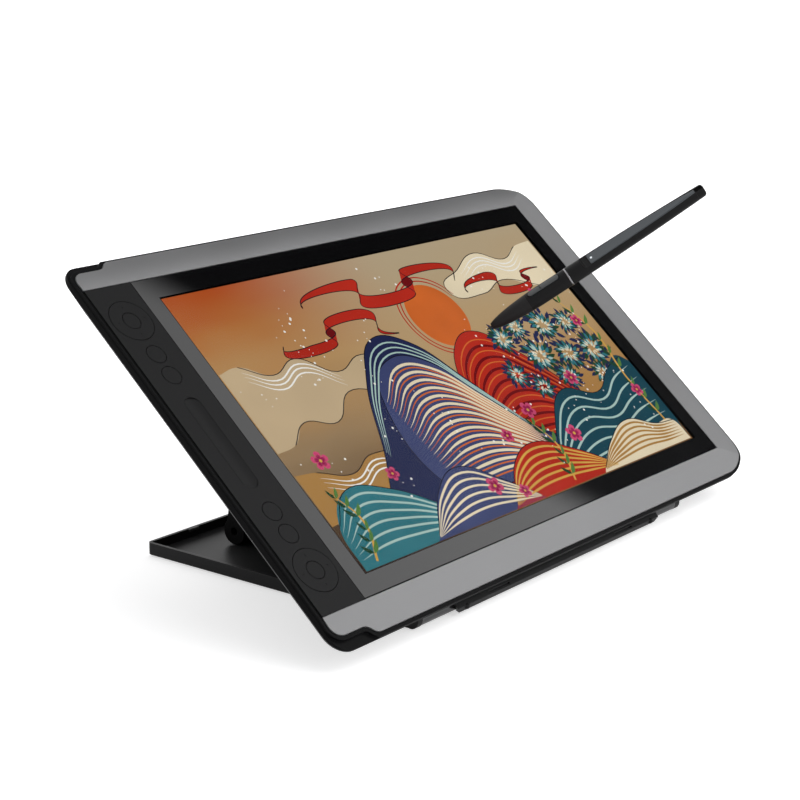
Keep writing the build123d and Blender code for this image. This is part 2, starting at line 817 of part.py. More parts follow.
def make_stand_plate():
    plate_front = hinge_behind_glass - body_thickness
    plate_rear = hinge_behind_glass - plate_back
    bar = extrude(stand_face([(-bar_reach, bar_corner_height), (-bar_face_reach, bar_face_height),
                              (-bar_lip_reach, bar_lip_height), (-bar_lip_return, plate_front),
                              (bar_root, plate_front), (bar_root, plate_rear),
                              (bar_keel_back + bar_keel, plate_rear), (bar_keel_back, -bar_keel),
                              (-bar_keel_front, -bar_keel)]),
                  plate_width / 2, both=True)
    for side in (-1, 1):
        bore = barrel_length + shaft_reach
        middle = side * (barrel_outer - bore / 2)
        bar -= Pos(middle, 0, 0) * Rot(0, 90, 0) * Cylinder(shaft_radius + running_gap, bore)
        bar -= Pos(side * (barrel_inner - barrel_gap + barrel_length / 2), 0, 0) * Rot(0, 90, 0) * Cylinder(
            barrel_radius + barrel_gap, barrel_length)
        wedge = make_face(Polyline((side * plate_width / 2, bar_face_height),
                                   (side * (plate_width / 2 - bar_end_cut), -bar_reach),
                                   (side * (plate_width / 2 + cut_over), -bar_reach),
                                   (side * (plate_width / 2 + cut_over), bar_face_height), close=True))
        bar -= Pos(0, -bar_keel_back, 0) * extrude(Plane.XZ * wedge, bar_reach + cut_over)
        facet_middle = Pos(side * bar_slot_offset, -(bar_face_reach + bar_lip_reach) / 2,
                           (bar_face_height + bar_lip_height) / 2)
        bar -= facet_middle * Rot(bar_facet_tilt, 0, 0) * Box(bar_slot_length, bar_slot_width,
                                                              2 * bar_slot_depth)
        bump = Pos(side * (plate_width / 2 - bump_inset), -bar_face_reach, bar_face_height - bump_radius / 2)
        bar += bump * Sphere(bump_radius)
    height = hinge_to_centre + body_top - plate_top_margin - bar_root
    sheet = Pos(0, bar_root + height / 2, (plate_front + plate_rear) / 2) * Box(
        plate_width, height, plate_thickness)
    sheet = fillet(sheet.edges().filter_by(Axis.Z).group_by(Axis.Y)[-1], plate_corner)
    plate = stand_on_display * (bar + sheet)
    for x, y in plate_screw_places():
        plate -= disc(plate_screw_radius + seat_gap, body_thickness - cut_over, plate_back + cut_over, x, y)
    return plate


def make_stand_rails():
    """The two rails that keep the leg's upper edge in line."""
    length = body_top - plate_top_margin - plate_corner
    rails = []
    for side in (-1, 1):
        x = -display_shift + side * (leg_width / 2 + rail_gap + rail_width / 2)
        rails.append(slab(rail_width, length, plate_back, plate_back + rail_height, x, length / 2))
    return rails


def make_plate_screws():
    screws = []
    for x, y in plate_screw_places():
        head = disc(plate_screw_head_radius, plate_back, plate_back + plate_screw_head, x, y)
        head -= extrude(Pos(x, y, -plate_back - plate_screw_head) * RegularPolygon(plate_screw_radius, 6),
                        plate_screw_head / 2)
        screws.append(head + disc(plate_screw_radius, plate_back - plate_screw_length, plate_back, x, y))
    return screws


# Stand tray: a shallow tub whose side walls run forward into the hinge ears
floor_top = feet_height + tray_floor
tray_front_wall = hinge_y + ear_radius + 2 * barrel_gap + tray_wall
leg_pivot_y = tray_depth / 2 - leg_pivot_inset
leg_pivot_behind_hinge = leg_pivot_y - hinge_y
leg_pivot_z = floor_top + floor_gap + leg_foot_radius


def across(radius, length, y, z, x=0):
    """A round bar along X."""
    return Pos(x, y, z) * Rot(0, 90, 0) * Cylinder(radius, length)


def make_tray():
    depth = tray_depth / 2 - tray_front_wall + tray_wall
    middle = tray_depth / 2 - depth / 2
    height = tray_height - feet_height
    block = Box(tray_width, depth, height)
    block = fillet(block.edges().filter_by(Axis.Z).group_by(Axis.Y)[-1], tray_corner)
    block = Pos(0, middle, feet_height + height / 2) * block
    block = chamfer(block.edges().group_by(Axis.Z)[0], tray_wall / 4)
    well = Box(tray_width - 2 * tray_wall, depth - 2 * tray_wall, height)
    well = Pos(0, middle, floor_top + height / 2) * well
    tray = block - fillet(well.edges().filter_by(Axis.Z), tray_corner - tray_wall)
    for side in (-1, 1):
        x = side * (tray_width / 2 - ear_width / 2)
        length = tray_front_wall - hinge_y
        tray += Pos(x, hinge_y + length / 2, feet_height + height / 2) * Box(ear_width, length, height)
        tray += across(ear_radius, ear_width, hinge_y, hinge_height, x)
        tray -= across(shaft_radius + seat_gap, ear_width, hinge_y, hinge_height, x - side * ear_width / 2)
        tray -= Pos(side * catch_offset, tray_depth / 2 - tray_wall, tray_height - catch_height / 2) * Box(
            catch_width, tray_wall, catch_height)
    for side in (-1, 1):
        x = side * knuckle_offset
        rise = leg_pivot_z - floor_top
        tray += Pos(x, leg_pivot_y, floor_top + rise / 2) * Box(knuckle_width, 2 * knuckle_radius, rise)
        tray += across(knuckle_radius, knuckle_width, leg_pivot_y, leg_pivot_z, x)
        tray -= across(leg_pin_radius + seat_gap, knuckle_width + cut_over, leg_pivot_y, leg_pivot_z, x)
    return tray


def make_catches():
    catches = []
    for side in (-1, 1):
        y = tray_depth / 2 - tray_wall
        tab = Pos(side * catch_offset, y, tray_height - catch_height / 2) * Box(
            catch_width - 2 * stack_gap, catch_reach, catch_height - 2 * stack_gap)
        catches.append(chamfer(tab.edges().group_by(Axis.Y)[0].group_by(Axis.Z)[-1], catch_height / 3))
    return catches


def make_tray_feet():
    x = tray_width / 2 - foot_pad_margin - foot_pad_length / 2
    back = tray_depth / 2 - foot_pad_margin - foot_pad_width / 2
    front = tray_front_wall + foot_pad_width / 2
    places = [(-x, front), (x, front), (-x, back), (x, back), (0, 0)]
    return [Pos(px, py, 0) * extrude(SlotOverall(foot_pad_length, foot_pad_width), feet_height)
            for px, py in places]


def make_barrels():
    barrels = []
    for side in (-1, 1):
        x = side * (barrel_outer - barrel_length / 2)
        barrel = across(barrel_radius, barrel_length - stack_gap, hinge_y, hinge_height,
                        x - side * stack_gap / 2)
        barrel = chamfer(barrel.edges().filter_by(GeomType.CIRCLE), barrel_gap)
        barrels.append(barrel - across(shaft_radius + seat_gap, barrel_length, hinge_y, hinge_height, x))
    return barrels


def make_shafts():
    length = barrel_length + shaft_reach - running_gap * 2 + ear_width / 2
    middle = barrel_outer + ear_width / 2 - length / 2
    return [across(shaft_radius, length, hinge_y, hinge_height, side * middle) for side in (-1, 1)]


def make_leg_pin():
    return across(leg_pin_radius, 2 * knuckle_offset + 3 * knuckle_width, leg_pivot_y, leg_pivot_z)


# Support leg: its length follows from where its padded edge meets the plate at rest
pad_reach = leg_edge_radius + leg_pad_thickness
plate_drop = plate_back - hinge_behind_glass + leg_rest_gap + pad_reach
pivot_rise = leg_pivot_z - hinge_height
pivot_to_plate = (leg_pivot_behind_hinge * sin(radians(tilt)) - pivot_rise * cos(radians(tilt)) - plate_drop)
leg_length = pivot_to_plate / sin(radians(180 - tilt - leg_lean))
leg_place = Location((0, leg_pivot_y, leg_pivot_z), (90 - leg_lean, 0, 0))


def make_leg():
    """Built standing on its pivot, +Y towards the rear, then leant to its place."""
    top = leg_length
    neck = top - leg_pad_depth
    taper = top * leg_taper_share
    side = Polyline((-leg_front_face, 0), (leg_rear_face, 0), (leg_rear_face, taper),
                    (leg_top_thickness / 2, neck), (leg_edge_radius, neck), (leg_edge_radius, top),
                    (-leg_edge_radius, top), (-leg_edge_radius, neck), (-leg_top_thickness / 2, neck),
                    (-leg_front_face, taper), close=True)
    panel = extrude(Plane.YZ * make_face(side), leg_width / 2, both=True)
    panel += across(leg_edge_radius, leg_width, 0, top)
    panel += across(leg_foot_radius, leg_width, 0, 0)
    low = leg_foot_radius + leg_rib
    high = neck - leg_rib
    column = (leg_width - leg_rib) / leg_pocket_columns
    row = (high - low) / leg_pocket_rows
    skin_front = leg_top_thickness / 2 - leg_skin
    for i in range(leg_pocket_columns):
        for j in range(leg_pocket_rows):
            x = -leg_width / 2 + leg_rib / 2 + column * (i + 1 / 2)
            panel -= Pos(x, skin_front - leg_foot_radius, low + row * (j + 1 / 2)) * Box(
                column - leg_rib, 2 * leg_foot_radius, row - leg_rib)
    panel -= across(leg_pin_radius + running_gap, leg_width + cut_over, 0, 0)
    for sign in (-1, 1):
        notch = knuckle_width + 2 * knuckle_gap
        panel -= across(leg_foot_radius + knuckle_gap, notch, 0, 0, sign * knuckle_offset)
    return leg_place * panel


def make_leg_pad():
    def cap(reach, width):
        sides = Pos(0, 0, leg_length - leg_pad_depth / 2) * Box(width, 2 * reach, leg_pad_depth)
        return sides + across(reach, width, 0, leg_length)
    return leg_place * (cap(pad_reach, leg_width) - cap(leg_edge_radius, leg_width + cut_over))


# Pen: built along +Z from its tip, its flat towards +X, then set on the screen
pen_direction = (cos(radians(pen_lean)) * cos(radians(pen_heading)),
                 cos(radians(pen_lean)) * sin(radians(pen_heading)), sin(radians(pen_lean)))
pen_tip = (pen_tip_offset, pen_tip_rise, pen_tip_gap)
pen_axis = Vector(*pen_direction)
pen_level = (Vector(0, 0, 1) - pen_axis * pen_axis.dot(Vector(0, 0, 1))).normalized()
pen_cross = pen_axis.cross(pen_level)
pen_facing = pen_level * cos(radians(pen_roll)) + pen_cross * sin(radians(pen_roll))
pen_plane = Plane(origin=pen_tip, x_dir=pen_facing, z_dir=pen_axis)

pen_nose_end = pen_nib_out + pen_nose_length
pen_plate_start = pen_facet_start + pen_facet_scoop
pen_plate_middle = pen_facet_distance + pen_plate_thickness / 2
pen_led_axis = Pos(pen_plate_middle, 0, pen_plate_start + pen_led_radius * 3) * Rot(0, 90, 0)
pen_sensor_start = pen_nib_length + pen_rocker_proud


def pen_outer(grow=0):
    """The pen's outside: a rounded nose that swells to the ring and slims towards the tail."""
    swell = pen_radius - pen_nose_radius
    nose = [(pen_nose_radius + swell * high + grow, pen_nib_out + pen_swell_length * far)
            for far, high in pen_profile_shares]
    curve = Spline(*nose, (pen_radius + grow, pen_ring_place), tangents=[pen_nose_slope_shares, (0, 1)])
    tail = TangentArc(curve @ 1, (pen_tail_radius + grow, pen_length - pen_end_round), tangent=(0, 1))
    cap = JernArc(tail @ 1, tail % 1, pen_end_round, pen_end_turn)
    start, end = curve @ 0, cap @ 1
    return make_face([curve, tail, cap, Line(end, (0, end.Y)), Line((0, end.Y), (0, start.Y)),
                      Line((0, start.Y), start)])


def pen_solid(grow=0):
    return revolve(Plane.XZ * pen_outer(grow), Axis.Z)


def pen_slice(low, high):
    return Pos(0, 0, (low + high) / 2) * Box(pen_radius * 4, pen_radius * 4, high - low)


def pen_rod(radius, low, high):
    return Pos(0, 0, (low + high) / 2) * Cylinder(radius, high - low)


def pen_facet(distance):
    cut = Box(2 * pen_radius, 4 * pen_radius, pen_length)
    cut = Pos(distance + pen_radius, 0, pen_facet_start + pen_length / 2) * cut
    start = cut.edges().group_by(Axis.Z)[0].group_by(Axis.X)[0]
    return fillet(start, (pen_radius - distance) * pen_facet_round_share)


def pen_rocker_slot(grow):
    length = pen_rocker_end - pen_rocker_start + 2 * grow
    low = pen_radius - pen_rocker_depth - grow
    return Pos(low, 0, (pen_rocker_start + pen_rocker_end) / 2) * Rot(0, 90, 0) * extrude(
        SlotOverall(length, pen_rocker_width + 2 * grow), pen_radius)


def make_pen_grip():
    grip = pen_solid() & pen_slice(0, pen_grip_end)
    grip -= pen_rod(pen_nib_radius + pen_rocker_gap, 0, pen_nib_length)
    cavity = pen_rod(pen_radius - 2 * pen_wall, pen_nose_end, pen_grip_end + cut_over)
    neck = pen_rod(pen_coil_radius + stack_gap, pen_nose_end - pen_coil_length, pen_grip_end)
    return grip - cavity - neck


def make_pen_shell():
    shell = pen_solid() & pen_slice(pen_grip_end, pen_length - pen_tail_cap)
    shell -= pen_solid(-pen_wall) & pen_slice(0, pen_length - pen_tail_cap)
    shell = shell - pen_facet(pen_facet_distance)
    wall = pen_facet(pen_facet_distance - pen_wall) & pen_solid(-pen_wall / 2) - pen_facet(pen_facet_distance)
    shell += wall & pen_slice(pen_grip_end, pen_length - pen_tail_cap)
    shell -= pen_rocker_slot(pen_rocker_gap)
    groove = pen_rod(pen_radius * 2, pen_ring_place - pen_ring_width / 2, pen_ring_place + pen_ring_width / 2)
    return shell - (groove - pen_solid(-pen_wall / 2))


def make_pen_ring():
    ring = pen_solid(pen_ring_proud) - pen_solid(-pen_wall / 2)
    return ring & pen_slice(pen_ring_place - pen_ring_width / 2, pen_ring_place + pen_ring_width / 2)


def make_pen_tail():
    tail = pen_solid() & pen_slice(pen_length - pen_tail_cap, pen_length)
    tail -= pen_facet(pen_facet_distance)
    port = Pos(pen_facet_distance, 0, pen_length - pen_port_length / 2) * Box(
        2 * pen_port_depth, pen_port_width, pen_port_length - 2 * stack_gap)
    return tail - port


def make_pen_plate():
    length = pen_length - pen_tail_cap - pen_plate_start
    plate = Box(pen_plate_thickness, 4 * pen_radius, length - pen_plate_margin)
    plate = Pos(pen_plate_middle, 0, pen_plate_start + length / 2) * plate
    plate = plate & pen_solid(-pen_plate_margin)
    return plate - pen_led_axis * Cylinder(pen_led_radius + seat_gap, 4 * pen_plate_thickness)


def make_pen_led():
    return pen_led_axis * Cylinder(pen_led_radius, pen_plate_thickness)


def make_pen_rocker():
    rocker = pen_rocker_slot(0) & pen_solid(pen_rocker_proud)
    notch = Pos(pen_radius + pen_rocker_proud, 0, pen_rocker_split) * Rot(0, 45, 0) * Box(
        pen_rocker_proud, 2 * pen_rocker_width, pen_rocker_proud)
    return rocker - notch


def make_pen_nib():
    nib = pen_rod(pen_nib_radius, pen_nib_tip_radius, pen_nib_length)
    cone = Pos(0, 0, pen_nib_out / 2) * Cone(pen_nib_tip_radius, pen_nib_radius, pen_nib_out)
    return (nib & pen_slice(pen_nib_out, pen_nib_length)) + cone


def make_pen_coil():
    return pen_rod(pen_coil_radius, pen_nose_end - pen_coil_length + stack_gap, pen_nose_end) - pen_rod(
        pen_nib_radius + pen_rocker_gap, 0, pen_length)


def make_pen_sensor():
    return pen_rod(pen_sensor_radius, pen_sensor_start, pen_sensor_start + pen_sensor_length)


def make_pen_board():
    start = pen_sensor_start + pen_sensor_length
    length = pen_plate_start - start
    return Pos(0, 0, start + length / 2) * Box(pen_board_thickness, pen_board_width, length)


def make_pen_battery():
    start = pen_plate_start + pen_rocker_gap
    cell = pen_rod(pen_battery_radius - pen_rocker_gap, start, start + pen_battery_length)
    return Pos(-pen_wall / 2, 0, 0) * cell


# Writing the pieces
display_pieces = {
    "front_frame": [make_front_frame()],
    "middle_frame": [make_middle_frame()],
    "rear_cover": [make_rear_cover()],
    "cover_screws": make_cover_screws(),
    "glass_cover": [make_glass()],
    "glass_border": [make_border_mask()],
    "lcd_panel": [screen_plate(lcd_margin, glass_thickness + mask_thickness, lcd_back)],
    "backlight_unit": [screen_plate(lcd_margin, lcd_back, backlight_back)],
    "digitizer_board": [screen_plate(digitizer_margin, digitizer_front, digitizer_back)],
    "shield_plate": [make_shield()],
    "main_board": [make_main_board()],
    "screen_ribbon": [make_ribbon()],
    "port_board": [make_port_board()],
    "power_jack": [make_power_jack()],
    "video_socket": [make_slot_socket(socket_x[1], video_socket_width, socket_height - 2 * socket_wall)],
    "usb_socket": [make_slot_socket(socket_x[2], usb_socket_width, usb_mouth_height)],
    "console_panel": [make_console_panel()],
    "touch_strip": [make_touch_strip()],
    "key_board": [make_key_board()],
    "key_domes": make_domes(),
    "menu_board": [make_menu_board()],
    "stand_plate": [make_stand_plate()],
    "stand_rails": make_stand_rails(),
    "plate_screws": make_plate_screws(),
}
for name, y in zip(("lower", "upper"), ring_places):
    display_pieces[f"{name}_ring"] = [make_ring(y)]
    display_pieces[f"{name}_ring_gimbal"] = [make_gimbal(y)]
    display_pieces[f"{name}_ring_button"] = [make_push_button(y, button_radius, button_height, False)]
for name, y in zip("abcd", key_places):
    display_pieces[f"shortcut_key_{name}"] = [make_push_button(y, key_radius, key_height, True)]
menu_names = ["power_key"] + [f"menu_key_{letter}" for letter in "abcdefgh"[:menu_key_count]]
for name, place in zip(menu_names, menu_key_places()):
    display_pieces[name] = [make_menu_key(place)]
for node, solids in display_pieces.items():
    write(node, *[on_display(solid) for solid in solids])

write("base_tray", make_tray())
write("tray_catches", *make_catches())
write("tray_feet", *make_tray_feet())
write("hinge_barrels", *make_barrels())
write("hinge_shafts", *make_shafts())
write("leg_pin", make_leg_pin())
write("support_leg", make_leg())
write("leg_pad", make_leg_pad())

pen_pieces = {
    "pen_grip": make_pen_grip(),
    "pen_shell": make_pen_shell(),
    "pen_ring": make_pen_ring(),
    "pen_tail_cap": make_pen_tail(),
    "pen_flat_plate": make_pen_plate(),
    "pen_light": make_pen_led(),
    "pen_rocker": make_pen_rocker(),
    "pen_nib": make_pen_nib(),
    "pen_coil": make_pen_coil(),
    "pen_sensor": make_pen_sensor(),
    "pen_board": make_pen_board(),
    "pen_battery": make_pen_battery(),
}
for node, solid in pen_pieces.items():
    write(node, on_display(pen_plane.location * solid))
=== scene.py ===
import json
import random
from math import asin, cos, pi, radians, sin

import bmesh
import bpy
from mathutils import Matrix, Vector


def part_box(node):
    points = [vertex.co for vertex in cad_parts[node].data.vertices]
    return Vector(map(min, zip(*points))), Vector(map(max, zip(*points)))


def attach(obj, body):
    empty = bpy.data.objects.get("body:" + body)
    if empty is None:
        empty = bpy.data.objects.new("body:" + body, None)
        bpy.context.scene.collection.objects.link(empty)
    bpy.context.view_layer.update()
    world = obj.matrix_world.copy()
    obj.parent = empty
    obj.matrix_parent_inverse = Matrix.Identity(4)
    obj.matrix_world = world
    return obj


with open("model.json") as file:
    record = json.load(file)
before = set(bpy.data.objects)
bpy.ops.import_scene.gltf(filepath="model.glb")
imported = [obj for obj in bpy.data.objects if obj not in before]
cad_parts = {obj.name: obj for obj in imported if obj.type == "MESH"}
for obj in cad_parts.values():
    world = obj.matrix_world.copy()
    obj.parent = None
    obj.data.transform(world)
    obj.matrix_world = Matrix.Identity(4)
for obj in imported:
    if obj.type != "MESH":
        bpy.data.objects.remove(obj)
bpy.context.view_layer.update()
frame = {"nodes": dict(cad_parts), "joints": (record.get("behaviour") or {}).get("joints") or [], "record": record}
MM = 0.001

# Camera at the photograph's place, with its heading, pitch and roll
CAMERA_PLACE = Vector((-0.90244, -0.68216, 0.37026))
CAMERA_HEADING = radians(52.16)
CAMERA_PITCH = radians(14.187)
CAMERA_ROLL = radians(0.248)
CAMERA_LENS = 86.2
CAMERA_NEAR = 0.01
SENSOR_WIDTH = 36.0
IMAGE_SIZE = 800

# Where the display lies, read from its keys' direction and its panel
PANEL_MARGIN = 3.0 * MM
PANEL_THICKNESS = 2.0 * MM
PANEL_FRONT = 2.0 * MM


def joint(name):
    return next(item for item in frame["joints"] if item["name"] == name)


def box_centre(node):
    low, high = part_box(node)
    return (Vector(low) + Vector(high)) / 2


OUT = -Vector(joint("shortcut_a_press")["axis"]).normalized()
ACROSS = Vector((1, 0, 0))
UP = OUT.cross(ACROSS)
TILT = asin(UP.z)
panel_low, panel_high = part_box("lcd_panel")
panel_depth = panel_high[1] - panel_low[1]
SCREEN_WIDTH = panel_high[0] - panel_low[0] - 2 * PANEL_MARGIN
SCREEN_HEIGHT = (panel_depth - PANEL_THICKNESS * sin(TILT)) / cos(TILT) - 2 * PANEL_MARGIN
SCREEN_CENTRE = box_centre("lcd_panel") + OUT * (PANEL_FRONT + PANEL_THICKNESS / 2)
SCREEN_CORNER = SCREEN_CENTRE - ACROSS * SCREEN_WIDTH / 2 - UP * SCREEN_HEIGHT / 2
SCREEN_PLACE = Matrix.Translation(SCREEN_CORNER) @ Matrix((ACROSS, UP, OUT)).transposed().to_4x4()


# Node groups shared by the finishes
def new_group(name, inputs, outputs):
    group = bpy.data.node_groups.new(name, "ShaderNodeTree")
    for socket, kind, value in inputs:
        made = group.interface.new_socket(socket, in_out="INPUT", socket_type=kind)
        made.default_value = value
    for socket, kind in outputs:
        group.interface.new_socket(socket, in_out="OUTPUT", socket_type=kind)
    start = group.nodes.new("NodeGroupInput")
    end = group.nodes.new("NodeGroupOutput")
    return group, start, end


def add(tree, kind, **settings):
    node = tree.nodes.new(kind)
    for key, value in settings.items():
        setattr(node, key, value)
    return node


def maths(tree, operation, first, second, clamp=False):
    node = add(tree, "ShaderNodeMath", operation=operation, use_clamp=clamp)
    for socket, value in zip(node.inputs, (first, second)):
        if hasattr(value, "is_linked"):
            tree.links.new(value, socket)
        else:
            socket.default_value = value
    return node.outputs[0]


def mix_colour(tree, factor, first, second):
    node = add(tree, "ShaderNodeMix", data_type="RGBA")
    for socket, value in zip((node.inputs[0], node.inputs[6], node.inputs[7]), (factor, first, second)):
        if hasattr(value, "is_linked"):
            tree.links.new(value, socket)
        else:
            socket.default_value = value
    return node.outputs[2]


GRAIN_SCALE = 900.0
GRAIN_DETAIL = 3.0
PATCH_SCALE = 14.0
PATCH_DETAIL = 2.0
NOISE_MIDDLE = 0.5
EDGE_RADIUS = 0.4 * MM
EDGE_SHARPNESS = 6.0
BEVEL_SAMPLES = 4


def moulded_grain_group():
    """A fine moulded or sprayed texture: its height, and slow patches that change tone and gloss."""
    group, start, end = new_group(
        "moulded grain",
        [("Grain Scale", "NodeSocketFloat", GRAIN_SCALE), ("Patch Scale", "NodeSocketFloat", PATCH_SCALE),
         ("Stretch", "NodeSocketVector", (1.0, 1.0, 1.0))],
        [("Height", "NodeSocketFloat"), ("Patch", "NodeSocketFloat"), ("Speck", "NodeSocketFloat")])
    place = add(group, "ShaderNodeTexCoord")
    stretch = add(group, "ShaderNodeVectorMath", operation="MULTIPLY")
    group.links.new(place.outputs["Object"], stretch.inputs[0])
    group.links.new(start.outputs["Stretch"], stretch.inputs[1])
    grain = add(group, "ShaderNodeTexNoise")
    grain.inputs["Detail"].default_value = GRAIN_DETAIL
    group.links.new(stretch.outputs[0], grain.inputs["Vector"])
    group.links.new(start.outputs["Grain Scale"], grain.inputs["Scale"])
    patch = add(group, "ShaderNodeTexNoise")
    patch.inputs["Detail"].default_value = PATCH_DETAIL
    group.links.new(place.outputs["Object"], patch.inputs["Vector"])
    group.links.new(start.outputs["Patch Scale"], patch.inputs["Scale"])
    speck = maths(group, "MULTIPLY", maths(group, "SUBTRACT", grain.outputs[0], NOISE_MIDDLE), 2.0)
    group.links.new(grain.outputs[0], end.inputs["Height"])
    group.links.new(patch.outputs[0], end.inputs["Patch"])
    group.links.new(speck, end.inputs["Speck"])
    return group


def soft_edge_group():
    """Rounds the look of sharp edges and finds where they are, for the highlights and shade painted along them."""
    group, start, end = new_group(
        "soft edge",
        [("Radius", "NodeSocketFloat", EDGE_RADIUS), ("Sharpness", "NodeSocketFloat", EDGE_SHARPNESS)],
        [("Normal", "NodeSocketVector"), ("Edge", "NodeSocketFloat")])
    bevel = add(group, "ShaderNodeBevel", samples=BEVEL_SAMPLES)
    group.links.new(start.outputs["Radius"], bevel.inputs["Radius"])
    shape = add(group, "ShaderNodeNewGeometry")
    dot = add(group, "ShaderNodeVectorMath", operation="DOT_PRODUCT")
    group.links.new(bevel.outputs[0], dot.inputs[0])
    group.links.new(shape.outputs["Normal"], dot.inputs[1])
    turned = maths(group, "SUBTRACT", 1.0, dot.outputs["Value"], clamp=True)
    edge = maths(group, "MULTIPLY", turned, start.outputs["Sharpness"], clamp=True)
    group.links.new(bevel.outputs[0], end.inputs["Normal"])
    group.links.new(edge, end.inputs["Edge"])
    return group


MOULDED_GRAIN = moulded_grain_group()
SOFT_EDGE = soft_edge_group()


BLACK = (0.0, 0.0, 0.0, 1.0)
WHITE = (1.0, 1.0, 1.0, 1.0)
GRAIN_DEPTH = 0.1 * MM
SPECK_TONE = 3
COAT_ROUGHNESS = 0.15


def shade(colour, factor):
    """A colour made darker or lighter, with full opacity."""
    return tuple(min(1.0, channel * factor) for channel in colour[:3]) + (1.0,)


def new_material(name):
    material = bpy.data.materials.new(name)
    material.use_nodes = True
    return material, material.node_tree, material.node_tree.nodes["Principled BSDF"]


def finish(name, colour, roughness, metallic=0.0, specular=0.4, grain_scale=GRAIN_SCALE,
           grain_height=0.12, tone=0.12, gloss_change=0.08, patch_scale=PATCH_SCALE,
           edge_radius=EDGE_RADIUS, edge_light=1.8, coat=0.0, stretch=(1.0, 1.0, 1.0)):
    """A surface finish whose tone, gloss and grain change a little over the piece, with soft edges that edge_light
    paints lighter as a painted highlight when above one and darker as painted shade when below one.
    """
    material, tree, shader = new_material(name)
    grain = add(tree, "ShaderNodeGroup", node_tree=MOULDED_GRAIN)
    grain.inputs["Grain Scale"].default_value = grain_scale
    grain.inputs["Patch Scale"].default_value = patch_scale
    grain.inputs["Stretch"].default_value = stretch
    edge = add(tree, "ShaderNodeGroup", node_tree=SOFT_EDGE)
    edge.inputs["Radius"].default_value = edge_radius
    body = mix_colour(tree, grain.outputs["Patch"], shade(colour, 1 - tone), shade(colour, 1 + tone))
    spotted = mix_colour(tree, maths(tree, "MULTIPLY", grain.outputs["Speck"], tone, clamp=True), body,
                         shade(colour, 1 + SPECK_TONE * tone))
    # The edges' colour is painted light: edge_light above one paints a highlight along them, below one paints
    # shade.
    edge_highlight_and_shade = mix_colour(tree, edge.outputs["Edge"], spotted, shade(colour, edge_light))
    tree.links.new(edge_highlight_and_shade, shader.inputs["Base Color"])
    patch = maths(tree, "SUBTRACT", grain.outputs["Patch"], NOISE_MIDDLE)
    gloss = maths(tree, "MULTIPLY", patch, 2 * gloss_change)
    tree.links.new(maths(tree, "ADD", gloss, roughness, clamp=True), shader.inputs["Roughness"])
    bump = add(tree, "ShaderNodeBump")
    bump.inputs["Strength"].default_value = grain_height
    bump.inputs["Distance"].default_value = GRAIN_DEPTH
    tree.links.new(grain.outputs["Height"], bump.inputs["Height"])
    tree.links.new(edge.outputs["Normal"], bump.inputs["Normal"])
    tree.links.new(bump.outputs[0], shader.inputs["Normal"])
    shader.inputs["Metallic"].default_value = metallic
    shader.inputs["Specular IOR Level"].default_value = specular
    shader.inputs["Coat Weight"].default_value = coat
    shader.inputs["Coat Roughness"].default_value = COAT_ROUGHNESS
    return material


# How far the clear part reaches past the lit area's left and lower edges, where the print would hide the
# picture from the camera's side
CLEAR_MARGIN_ACROSS = 2.5 * MM
CLEAR_MARGIN_UP = 0.9 * MM
CLEAR_ALPHA = 0.05
GLASS_ROUGHNESS = 0.02
GLASS_SMEAR = 0.03
SMEAR_GRAIN_SCALE = 60.0
SMEAR_PATCH_SCALE = 9.0
GLASS_DARK = (0.003, 0.003, 0.0034, 1.0)
GLASS_PALE = (0.004, 0.004, 0.0044, 1.0)


def cover_glass():
    """The cover glass: clear over the lit area, glossy black where the black print lies behind it."""
    material, tree, shader = new_material("cover glass")
    place = add(tree, "ShaderNodeTexCoord")
    offset = add(tree, "ShaderNodeVectorMath", operation="SUBTRACT")
    offset.inputs[1].default_value = SCREEN_CORNER
    tree.links.new(place.outputs["Object"], offset.inputs[0])
    within = []
    for way, length, margin in ((ACROSS, SCREEN_WIDTH, CLEAR_MARGIN_ACROSS),
                                (UP, SCREEN_HEIGHT, CLEAR_MARGIN_UP)):
        along = add(tree, "ShaderNodeVectorMath", operation="DOT_PRODUCT")
        along.inputs[1].default_value = way
        tree.links.new(offset.outputs[0], along.inputs[0])
        middle, reach = (length - margin) / 2, (length + margin) / 2
        from_middle = maths(tree, "ABSOLUTE", maths(tree, "SUBTRACT", along.outputs["Value"], middle), 0.0)
        within.append(maths(tree, "LESS_THAN", from_middle, reach))
    clear = maths(tree, "MULTIPLY", maths(tree, "MULTIPLY", *within), 1 - CLEAR_ALPHA)
    tree.links.new(maths(tree, "SUBTRACT", 1.0, clear), shader.inputs["Alpha"])
    smear = add(tree, "ShaderNodeGroup", node_tree=MOULDED_GRAIN)
    smear.inputs["Grain Scale"].default_value = SMEAR_GRAIN_SCALE
    smear.inputs["Patch Scale"].default_value = SMEAR_PATCH_SCALE
    gloss = maths(tree, "MULTIPLY", smear.outputs["Patch"], GLASS_SMEAR)
    tree.links.new(maths(tree, "ADD", gloss, GLASS_ROUGHNESS), shader.inputs["Roughness"])
    body = mix_colour(tree, smear.outputs["Patch"], GLASS_DARK, GLASS_PALE)
    tree.links.new(body, shader.inputs["Base Color"])
    shader.inputs["Specular IOR Level"].default_value = 1.0
    return material


def lit_material(name, strength):
    """A material that shines by itself and mirrors nothing."""
    material, tree, shader = new_material(name)
    shader.inputs["Emission Strength"].default_value = strength
    shader.inputs["Base Color"].default_value = BLACK
    shader.inputs["Specular IOR Level"].default_value = 0.0
    return material, tree, shader


INK_STRENGTH = 0.92
INK_ROUGHNESS = 0.6
INK_PATCH_SCALE = 24.0
INK_GRAIN_SCALE = 6 * INK_PATCH_SCALE


